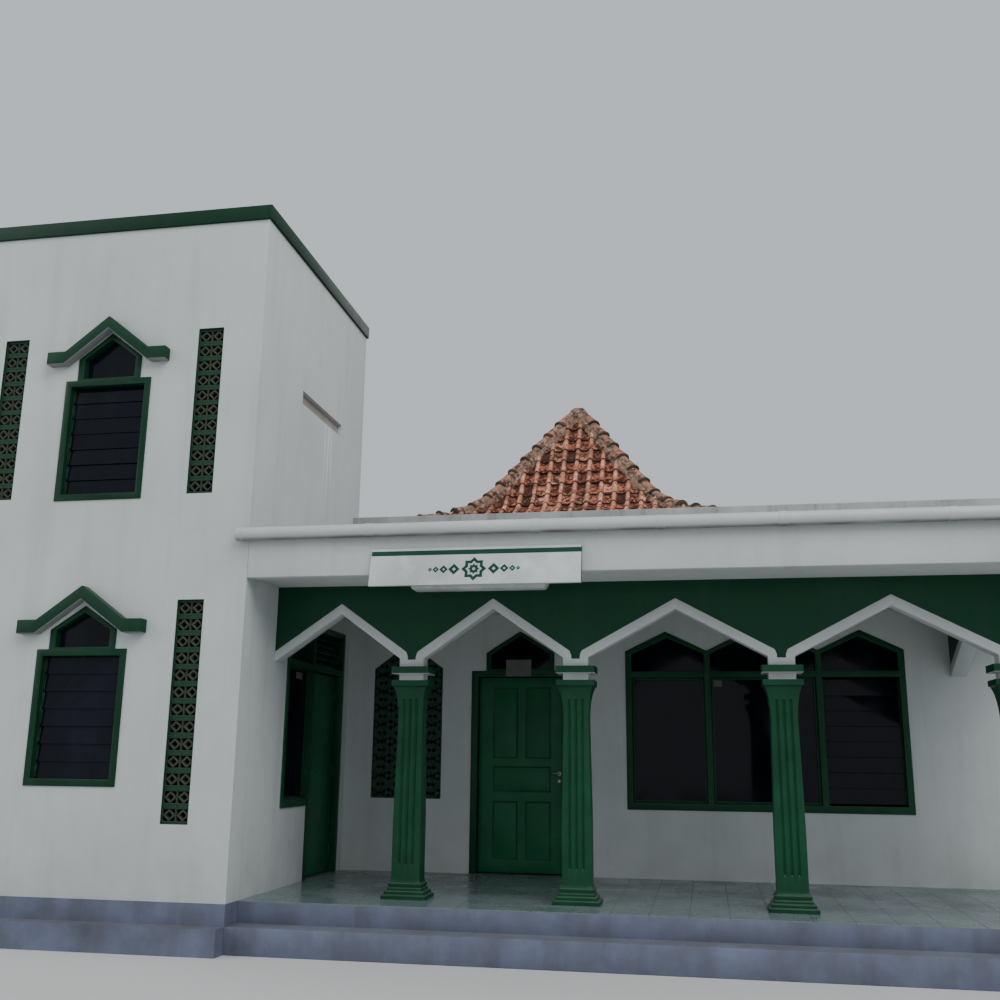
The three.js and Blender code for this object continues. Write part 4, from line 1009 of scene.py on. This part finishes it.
def flower_block(bm, x, z, width, height, ys):
    """A pierced block: two half holes in each side leave eight petals round a slit like a cross."""
    half_hole = [(-0.0195, 0.0), (-0.0155, 0.0120), (0.0, 0.0175), (0.0155, 0.0120), (0.0195, 0.0)]
    half_slit = [(-0.0060, 0.0060), (-0.0052, 0.0120), (-0.0050, 0.0170), (-0.0046, 0.0220),
                 (-0.0040, 0.0270), (-0.0022, 0.0315)]
    slit = half_slit + [(-a, b) for a, b in reversed(half_slit[1:])]
    outer, inner = [], []
    for turn in range(4):
        along_side, across, apart = ((width / 2, height / 2, 0.0240) if turn % 2 == 0
                                     else (height / 2, width / 2, 0.0310))
        points = [(-along_side, -across)]
        for centre in (-apart, apart):
            points += [(centre + a, b - across) for a, b in half_hole]
        cosine, sine = ((1, 0), (0, 1), (-1, 0), (0, -1))[turn]
        for ring, line in ((outer, points), (inner, [(a, -b) for a, b in slit])):
            ring += [(x + a * cosine - b * sine, z + a * sine + b * cosine) for a, b in line]
    hollow_slab(bm, outer, inner, "xz", ys)


# Veranda

class MosqueVeranda(bpy.types.Operator):
    """Build the arcade's walls and bands, the beam, the gutter, the sign and the lamp behind it"""

    bl_idname = "mosque.veranda"
    bl_label = "Veranda"

    def execute(self, context):
        sizes = context.scene.mosque_veranda
        for node, slot, width in (
            ("arcade_wall_front", "green_render", 0.003), ("arcade_wall_return", "green_render", 0.003),
            ("arcade_band_front", "white_band", 0.004), ("arcade_band_return", "white_band", 0.004),
            ("veranda_beam", "white_render", 0.006),
        ):
            dress(node, f"{node}_render", slot, width)
        self.add_gutter(sizes.gutter_radius)
        self.add_sign(sizes.sign_stripe)
        self.add_light_box()
        return {"FINISHED"}

    def add_gutter(self, gutter_radius):
        """A round gutter with a flat back, sleeves over its joints and a cap at its left end."""
        dice = random.Random(5)
        y, z, back, sides = -0.05, 2.995, -0.0003, 22
        start = math.acos((back - y) / gutter_radius)
        angles = [start + (math.tau - 2 * start) * step / sides for step in range(sides + 1)]
        stations = [(-0.090, 0.001), (-0.087, 0.004), (-0.040, 0.004), (-0.038, 0.0)]
        for joint in (1.09, 2.50, 3.50, 4.45, 5.70):
            stations += [(joint + reach, raised) for reach, raised in
                         ((-0.032, 0.0), (-0.030, 0.0035), (0.030, 0.0035), (0.032, 0.0))]
        stations += [(6.895, 0.0), (6.8985, -0.002)]
        rings = []
        for x, extra in stations:
            radius = gutter_radius - 0.004 + extra + dice.uniform(-0.0006, 0.0006)
            rings.append([Vector((x, min(y + math.cos(angle) * radius, back),
                                  z + math.sin(angle) * radius)) for angle in angles])
        bm = bmesh.new()
        loft(bm, rings)
        finish_piece("round_gutter", bm, ["white_pipe"], ["veranda_gutter"], smooth=25)

    def add_sign(self, stripe):
        """A leaning board with a stripe along its head and a plain star ornament."""
        left, right, height = 1.1102, 2.8698, 0.3294
        low = height - 0.024 - stripe
        bm = bmesh.new()
        soft_block(bm, (left, right), (0.0, 0.022), (0.001, height), 0.0025, 2)
        painted = bmesh.new()
        block(painted, (left + 0.0038, right - 0.0038), PAINTED_YS, (low, low + stripe))
        block(painted, (right - 0.0036, right + 0.0001), (PAINTED_YS[0], 0.018), (0.004, height - 0.004))
        star_ornament(painted, 1.99, (low + 0.004) / 2)
        join(bm, painted, material=1)
        lean = Matrix.Rotation(-math.atan2(0.074, 0.321), 4, "X")
        bmesh.ops.transform(bm, matrix=Matrix.Translation((0, -0.0995, 2.517)) @ lean, verts=bm.verts)
        for x in (1.300, 2.680):
            wedge = bmesh.new()
            slab(wedge, [(-0.080, 2.560), (-0.001, 2.620), (-0.001, 2.815), (-0.010, 2.815)],
                 "yz", (x, x + 0.03))
            soften(wedge, 0.002, 1)
            join(bm, wedge)
        finish_piece("leaning_sign", bm, ["sign_white", "sign_green"], ["sign_board"])

    def add_light_box(self):
        """The lamp housing under the canopy, with its sloping diffuser."""
        plan = (1.382, 2.558, 0.162, 0.358)
        bm = bmesh.new()
        soft_block(bm, plan[:2], plan[2:], (2.598, 2.6498), 0.004, 2)
        diffuser = bmesh.new()
        loft(diffuser, [[Vector((a, b, z)) for a, b in rectangle(*plan, inset)] for z, inset in
                        ((2.600, 0.006), (2.560, 0.010), (2.530, 0.024), (2.5215, 0.045))])
        soften(diffuser, 0.004, 2, 40)
        join(bm, diffuser)
        finish_piece("lamp_housing", bm, ["sign_white"], ["sign_light_box"])


def star_ornament(bm, x, z):
    """An eight-pointed star with an open middle, and smaller diamonds on either side."""
    def star(*radii):
        return [(x + math.cos(math.pi * index / 8) * radii[index % 2],
                 z + math.sin(math.pi * index / 8) * radii[index % 2]) for index in range(16)]
    for outer, inner in (((0.104, 0.078), (0.070, 0.052)), ((0.046, 0.033), (0.016, 0.011))):
        hollow_slab(bm, star(*outer), star(*inner), "xz", PAINTED_YS)
    for offset, size in ((0.165, 0.048), (0.252, 0.036), (0.318, 0.027), (0.366, 0.018)):
        for a in (x - offset, x + offset):
            hollow_slab(bm, diamond(a, z, size, size), diamond(a, z, size / 3, size / 3), "xz", PAINTED_YS)


# Columns

def quarter_cove(foot, head):
    """Hollow quarter round between two points of a profile, upright at its foot."""
    steps = 6
    points = []
    for index in range(steps + 1):
        angle = index / steps * math.pi / 2
        points.append((foot[0] + (head[0] - foot[0]) * (1 - math.cos(angle)),
                       foot[1] + (head[1] - foot[1]) * math.sin(angle)))
    return points


def eased(profile):
    """Sharp corners of a profile of half widths and heights, each turned into a short slope."""
    reach, sharp, shortest = 0.003, math.radians(40), 0.0066
    points = [profile[0]]
    for before, here, after in zip(profile, profile[1:], profile[2:]):
        corner = Vector(here)
        back, onward = corner - Vector(before), Vector(after) - corner
        if min(back.length, onward.length) > shortest and back.angle(onward, 0.0) > sharp:
            points += [tuple(corner - back.normalized() * reach),
                       tuple(corner + onward.normalized() * reach)]
        else:
            points.append(here)
    return points + [profile[-1]]


class MosqueColumnPieces(bpy.types.Operator):
    """Build the four fluted columns with their bases and capitals"""

    bl_idname = "mosque.columns"
    bl_label = "Columns"

    def execute(self, context):
        sizes = context.scene.mosque_columns
        foot, head = sizes.groove_foot, sizes.groove_top
        profile = eased([
            (0.192, 0.0), (0.192, 0.030), (0.171, 0.034), (0.171, 0.060), (0.150, 0.064), (0.150, 0.085),
            (0.140, 0.088), (0.140, 0.105), (0.1445, 0.106),
            *reversed(quarter_cove((0.1225, 0.160), (0.1445, 0.121))),
            (0.1225, foot - 0.008), (0.1225, foot), (0.1225, foot + 0.008), (0.1225, 0.620),
            (0.1160, 1.000), (0.1100, 1.340), (0.1075, 1.470), (0.1080, 1.510), (0.1100, 1.555),
            (0.1140, 1.602), (0.1180, head - 0.016), (0.1190, head - 0.006), (0.1198, head),
            (0.1250, 1.674), (0.1310, 1.700), (0.1390, 1.726), (0.1500, 1.754), (0.163, 1.757),
            (0.163, 1.806), (0.110, 1.806), (0.110, 1.863), (0.167, 1.863), (0.167, 1.924)])
        fade, least, edge = 0.012, 0.35, 0.001
        rings = []
        for half, height in profile:
            deep = 0.0
            if foot - edge < height < head - edge:
                inside = min(height - foot, head - height)
                deep = sizes.groove_depth * min(1.0, least + inside / fade)
            rings.append([point + Vector((0, 0, height)) for point in self.section(half, deep, sizes)])
        for number, x in enumerate(COLUMN_XS, 1):
            bm = bmesh.new()
            loft(bm, rings)
            colour_faces(bm, lambda face: 1.8062 < face.calc_center_median().z < 1.866
                         and face.normal.z < 0.5, 1)
            bmesh.ops.translate(bm, verts=bm.verts, vec=(x, COLUMN_Y, 0))
            finish_piece(f"fluted_column_{number}", bm, ["green_paint", "white_band"],
                         [f"column_{number}"], smooth=28)
        return {"FINISHED"}

    def section(self, half, deep, sizes):
        """One level of a column: three grooves in each face and slightly rounded corners."""
        groove = sizes.groove_width / 2
        narrower, corner, rounding = 0.0325, 0.006, 0.0018
        ring = []
        for turn in range(4):
            wide, out = (half, half - narrower) if turn % 2 == 0 else (half - narrower, half)
            points = [(-wide + corner, -out)]
            for middle in (-sizes.groove_spacing, 0.0, sizes.groove_spacing):
                for share, drop in ((-1, 0), (-0.7, 0.62), (0, 1), (0.7, 0.62), (1, 0)):
                    points.append((middle + share * groove, -out + deep * drop))
            points += [(wide - corner, -out), (wide - rounding, -out + rounding)]
            turned = Matrix.Rotation(math.pi / 2 * turn, 3, "Z")
            ring += [turned @ Vector((a, b, 0)) for a, b in points]
        return ring


# Roof

def along(line, distance):
    """Point and direction on a roof line at a distance from its start."""
    left = distance
    for (a0, z0), (a1, z1) in zip(line, line[1:]):
        length = math.hypot(a1 - a0, z1 - z0)
        if left <= length or (a1, z1) == line[-1]:
            share = left / length
            return (Vector((a0 + (a1 - a0) * share, z0 + (z1 - z0) * share)),
                    Vector(((a1 - a0) / length, (z1 - z0) / length)))
        left -= length


def line_length(line):
    """Length of a roof line along the slope."""
    return sum(math.hypot(a1 - a0, z1 - z0) for (a0, z0), (a1, z1) in zip(line, line[1:]))


def clamped(value):
    """A value kept between 0 and 1."""
    return min(1.0, max(0.0, value))


def tile_shape(roof):
    """One clay tile: a hollow pan with a roll along its right side, x across and y down the slope."""
    width, thickness, crest = roof.tile_width, roof.tile_thickness, roof.roll_height
    section = [(0.0, 0.40), (0.10, 0.15), (0.28, 0.0), (0.48, 0.0), (0.62, 0.18), (0.69, 0.52),
               (0.77, 0.90), (0.86, 1.0), (0.95, 0.86), (1.02, 0.50), (1.05, 0.22)]
    ring = [(u * width, h * crest) for u, h in section]
    ring += [(u * width, h * crest - thickness) for u, h in reversed(section)]
    length = roof.tile_exposure * 1.22
    bm = tiled_mesh()
    loft(bm, [[Vector((u, length * share, h)) for u, h in ring] for share in (0.0, 1.0)])
    _, rise, down = (bm.verts.layers.float[name] for name in TILE_LAYERS)
    for vert in bm.verts:
        vert[rise] = clamped(vert.co.z / crest)
        vert[down] = vert.co.y / length
    return mesh_of(bm, "tile_shape"), length


def tiled_mesh():
    """An empty bmesh with the tiles' attributes."""
    bm = bmesh.new()
    for name in TILE_LAYERS:
        bm.verts.layers.float.new(name)
    return bm


def square_to(way):
    """The upward direction that is square to the eaves and to a way down the slope."""
    up = Vector((1, 0, 0)).cross(way)
    return -up if up.z < 0 else up


def lay_slope(line, start, roof, dice, shape, length):
    """The courses of one slope, which reach past both its hips."""
    phase, roll_share, lean, sunk = 0.059, 0.86, 0.024, 0.004
    total = line_length(line)
    side = tiled_mesh()
    for row in range(math.ceil((total - start) / roof.tile_exposure) + 1):
        foot = min(start + row * roof.tile_exposure, total + 0.005)
        low, _ = along(line, foot)
        high, _ = along(line, max(0.0, foot - length))
        down = Vector((0.0, high.x - low.x, low.y - high.y)).normalized()
        if down.length < 0.5:
            down = Vector((0.0, 0.0, -1.0))
        out = square_to(down)
        reach = low.x + roof.tile_width
        first = math.floor((-reach - phase) / roof.tile_width)
        last = math.ceil((reach - phase) / roof.tile_width)
        for column in range(first, last + 1):
            tilt = lean + dice.uniform(-0.004, 0.006)
            run = (down + out * tilt / length).normalized()
            basis = Matrix((Vector((1, 0, 0)), run, square_to(run))).transposed().to_4x4()
            x = phase + (column - roll_share) * roof.tile_width + dice.uniform(-0.002, 0.002)
            lift = tilt - sunk + dice.uniform(0, 0.004)
            back = length + dice.uniform(-0.006, 0.006)
            spot = Vector((x, -low.x, low.y)) + (out * lift - run * back)
            copy = shape.copy()
            copy.transform(Matrix.Translation(spot) @ basis
                           @ Matrix.Rotation(dice.uniform(-0.012, 0.012), 4, "Z"))
            # Tiles grow paler towards each slope's right: painted sunlight, with less soot
            sunlit_and_cleaner_towards_right = 0.10 * spot.x / max(reach, 1.0)
            tone = clamped(dice.gauss(0.47 + sunlit_and_cleaner_towards_right, 0.24))
            copy.attributes["tone"].data.foreach_set("value", [tone] * len(copy.vertices))
            side.from_mesh(copy)
            bpy.data.meshes.remove(copy)
    return side


def lay_tiles(line, start, roof, dice):
    """The four slopes of one tier of the roof, each cut off along its hips and at its foot."""
    shape, length = tile_shape(roof)
    whole = tiled_mesh()
    for turn in range(4):
        side = lay_slope(line, start, roof, dice, shape, length)
        for sign in (1, -1):
            cut_off(side, (0, 0, 0), (sign, 1, 0))
        cut_off(side, (0, -line[-1][0] + 0.004, 0), (0, -1, 0))
        bmesh.ops.rotate(side, verts=side.verts, matrix=Matrix.Rotation(math.pi / 2 * turn, 3, "Z"))
        join(whole, side)
    bpy.data.meshes.remove(shape)
    return whole


def roof_deck(line):
    """The hollow bed under the tiles of one tier."""
    def square(half, height):
        return [Vector((a, b, height)) for a, b in rectangle(-half, half, -half, half)]
    outer = [(max(half - 0.001, 0.003), height - 0.012) for half, height in reversed(line)]
    inner = [(max(half - 0.001, 0.002), height - 0.090) for half, height in line]
    bm = tiled_mesh()
    loft(bm, [square(*point) for point in outer + inner], hollow=True)
    return bm


class MosqueTiles(bpy.types.Operator):
    """Lay the clay tiles on both tiers of the hall's roof"""

    bl_idname = "mosque.tiles"
    bl_label = "Roof tiles"

    def execute(self, context):
        roof = context.scene.mosque_roof
        dice = random.Random(roof.seed)
        for name, line, start in (("upper", SPIRE_LINE, 0.522 - roof.tile_exposure),
                                  ("lower", SKIRT_LINE, 0.20)):
            bm = lay_tiles(line, start, roof, dice)
            join(bm, roof_deck(line), material=1)
            bmesh.ops.translate(bm, verts=bm.verts, vec=ROOF_CENTRE)
            finish_piece(f"roof_tiles_{name}", bm, ["roof_tile", "mortar"], [f"hall_roof_{name}"], smooth=40)
        return {"FINISHED"}


def above_hip(turn, point, out, across, height):
    """A point beside a hip's line and above it, turned to the hip's corner of the roof."""
    return turn @ Vector((point.x + out.x * height, across, point.y + out.y * height))


class MosqueHips(bpy.types.Operator):
    """Set the half-round tiles and their mortar along the hips, and the cap on top"""

    bl_idname = "mosque.hips"
    bl_label = "Hips and cap"

    def execute(self, context):
        roof = context.scene.mosque_roof
        dice = random.Random(roof.seed + 1)
        tiles = tiled_mesh()
        mortar = bmesh.new()
        for line, start, short in ((SPIRE_LINE, 0.50, 0.0), (SKIRT_LINE, 0.12, 0.13)):
            diagonal = [(half * math.sqrt(2), height) for half, height in line]
            total = line_length(diagonal) - short * math.sqrt(2)
            for corner in range(4):
                turn = Matrix.Rotation(math.radians(45 + 90 * corner), 4, "Z")
                self.bed(mortar, diagonal, total, turn, dice)
                distance = start
                while distance < total + roof.barrel_exposure * 0.4:
                    self.barrel(tiles, mortar, diagonal, min(distance, total), turn, roof, dice)
                    distance += roof.barrel_exposure * dice.uniform(0.95, 1.05)
        self.cap(tiles, dice)
        for bm in (tiles, mortar):
            bmesh.ops.translate(bm, verts=bm.verts, vec=ROOF_CENTRE)
        finish_piece("hip_tiles", tiles, ["hip_tile", "mortar"], ["hall_roof_hips"])
        finish_piece("hip_mortar", mortar, ["hip_bed", "mortar"], ["hall_roof_hips"], smooth=50)
        return {"FINISHED"}

    def bed(self, mortar, diagonal, total, turn, dice):
        """Uneven mortar between the hip tiles and the field."""
        steps = int(total / 0.07)
        rings = []
        for step in range(steps + 1):
            point, way = along(diagonal, total * step / steps)
            out = Vector((-way.y, way.x))
            ring = []
            for u, h in ((-0.128, -0.07), (-0.116, -0.004), (-0.088, 0.030), (0.088, 0.030),
                         (0.116, -0.004), (0.128, -0.07)):
                across = u + math.copysign(dice.uniform(-0.026, 0.016), u)
                ring.append(above_hip(turn, point, out, across, h + dice.uniform(-0.012, 0.010)))
            rings.append(ring)
        loft(mortar, rings)

    def barrel(self, tiles, mortar, diagonal, distance, turn, roof, dice):
        """One hip tile, wider at its foot, with a collar of mortar round its foot."""
        flat, sides = 0.80, 12
        foot, _ = along(diagonal, distance)
        head, _ = along(diagonal, max(0.0, distance - roof.barrel_exposure * 1.10))
        way = (foot - head).normalized()
        out = Vector((-way.y, way.x))
        lift = dice.uniform(-0.004, 0.004)

        def ring(share, size, raised=0.0):
            middle = head.lerp(foot, share) + out * (0.014 + 0.022 * share + lift + raised)
            points = []
            for index in range(sides + 1):
                angle = math.radians(-25 + 230 * index / sides)
                across = math.cos(angle) * roof.barrel_radius * size
                height = math.sin(angle) * roof.barrel_radius * size * flat
                points.append(above_hip(turn, middle, out, across, height))
            return points
        faces = loft(tiles, [ring(*values) for values in
                             ((0.0, 0.78), (0.5, 0.88), (0.90, 0.97), (0.985, 1.0), (1.0, 0.96))])
        tone = clamped(dice.gauss(0.45, 0.25))
        tone_layer, crest_layer, _ = (tiles.verts.layers.float[name] for name in TILE_LAYERS)
        middle = head.lerp(foot, 0.5)
        for vert in {vert for face in faces for vert in face.verts}:
            local = turn.inverted() @ vert.co
            rise = (local.x - middle.x) * out.x + (local.z - middle.y) * out.y
            vert[tone_layer] = tone
            vert[crest_layer] = clamped(rise / roof.barrel_radius)
        collar = [ring(share, size + dice.uniform(-0.02, 0.02), raised) for share, size, raised in
                  ((0.955, 0.95, 0.0), (0.97, 1.075, 0.0), (1.0, 1.09, -0.001), (1.03, 1.06, -0.004),
                   (1.045, 0.86, -0.008))]
        # Collars take the dark mortar, also a painted shadow under the tile's foot
        for face in loft(mortar, collar):
            face.material_index = 1

    def cap(self, tiles, dice):
        """A pointed clay cap over the meeting of the hips."""
        sides, tone, crest = 24, 0.7, 0.8
        rings = []
        for radius, height in ((0.160, 6.340), (0.172, 6.375), (0.164, 6.408), (0.148, 6.442),
                               (0.128, 6.476), (0.105, 6.508), (0.082, 6.536), (0.056, 6.557),
                               (0.028, 6.566), (0.006, 6.569)):
            ring = []
            for index in range(sides):
                angle = math.tau * index / sides
                size = radius * dice.uniform(0.96, 1.03)
                ring.append(Vector((math.cos(angle) * size, math.sin(angle) * size, height)))
            rings.append(ring)
        tone_layer, crest_layer, _ = (tiles.verts.layers.float[name] for name in TILE_LAYERS)
        for vert in {vert for face in loft(tiles, rings) for vert in face.verts}:
            vert[tone_layer] = tone
            vert[crest_layer] = crest


# Stage

class MosqueStageSetup(bpy.types.Operator):
    """Set up the pale floor, soft lights and camera"""

    bl_idname = "mosque.stage"
    bl_label = "Stage"

    def execute(self, context):
        stage = context.scene.mosque_stage
        bm = bmesh.new()
        bmesh.ops.create_grid(bm, x_segments=4, y_segments=4, size=stage.floor_size / 2)
        mesh = mesh_of(bm, "stage_floor")
        sheet = Sheet("stage_floor")
        haze = sheet.span(sheet.noise(0.15, 3), 0.3, 0.7)
        mesh.materials.append(sheet.close(sheet.blend((0.55, 0.55, 0.54), (0.52, 0.52, 0.51), haze), 0.9))
        floor = placed("stage_floor", mesh)
        world = bpy.data.worlds.new("studio")
        world.use_nodes = True
        background = world.node_tree.nodes["Background"]
        background.inputs["Color"].default_value = (0.84, 0.90, 0.96, 1)
        background.inputs["Strength"].default_value = stage.sky_strength
        context.scene.world = world
        for name, place, turn, size, power in (
            ("key_light", (9, -16, 17), (50, 0, 30), 14, stage.key_power),
            ("fill_light", (-16, -10, 10), (62, 0, -58), 14, stage.key_power * 0.35),
            ("rear_light", (0, 22, 16), (-55, 0, 0), 16, stage.key_power * 0.5),
        ):
            data = bpy.data.lights.new(name, "AREA")
            data.size = size
            data.energy = power
            placed(name, data, place, turn)
        data = bpy.data.cameras.new("photo_view")
        data.sensor_width = 36
        data.lens = stage.lens
        data.clip_end = 400
        context.scene.camera = placed("photo_view", data, CAMERA_PLACE, CAMERA_TURN)
        return {"FINISHED"}


class VIEW3D_PT_mosque(bpy.types.Panel):
    """Lists the steps that build the mosque and their settings."""

    bl_label = "Neighbourhood Mosque"
    bl_space_type = "VIEW_3D"
    bl_region_type = "UI"
    bl_category = "Mosque"

    def draw(self, context):
        for operator in OPERATORS:
            self.layout.operator(operator.bl_idname)
        for name, group in GROUPS.items():
            settings = getattr(context.scene, name)
            box = self.layout.box()
            for key in group.__annotations__:
                box.prop(settings, key)


GROUPS = {
    "mosque_finishes": MosqueFinishes, "mosque_roof": MosqueRoof, "mosque_columns": MosqueColumns,
    "mosque_openings": MosqueOpenings, "mosque_veranda": MosqueVerandaSizes, "mosque_stage": MosqueStage,
}
OPERATORS = (
    MosqueWalls, MosqueWingWindows, MosqueSideUnit, MosqueHallFront, MosqueVeranda, MosqueColumnPieces,
    MosqueTiles, MosqueHips, MosqueStageSetup,
)


def register():
    for group in GROUPS.values():
        bpy.utils.register_class(group)
    for name, group in GROUPS.items():
        setattr(bpy.types.Scene, name, PointerProperty(type=group))
    for operator in OPERATORS:
        bpy.utils.register_class(operator)
    bpy.utils.register_class(VIEW3D_PT_mosque)


def unregister():
    bpy.utils.unregister_class(VIEW3D_PT_mosque)
    for operator in reversed(OPERATORS):
        bpy.utils.unregister_class(operator)
    for name in GROUPS:
        delattr(bpy.types.Scene, name)
    for group in reversed(GROUPS.values()):
        bpy.utils.unregister_class(group)


def main():
    register()
    bpy.ops.mosque.walls()
    bpy.ops.mosque.wing_windows()
    bpy.ops.mosque.side_unit()
    bpy.ops.mosque.hall_front()
    bpy.ops.mosque.veranda()
    bpy.ops.mosque.columns()
    bpy.ops.mosque.tiles()
    bpy.ops.mosque.hips()
    bpy.ops.mosque.stage()


if __name__ == "__main__":
    main()
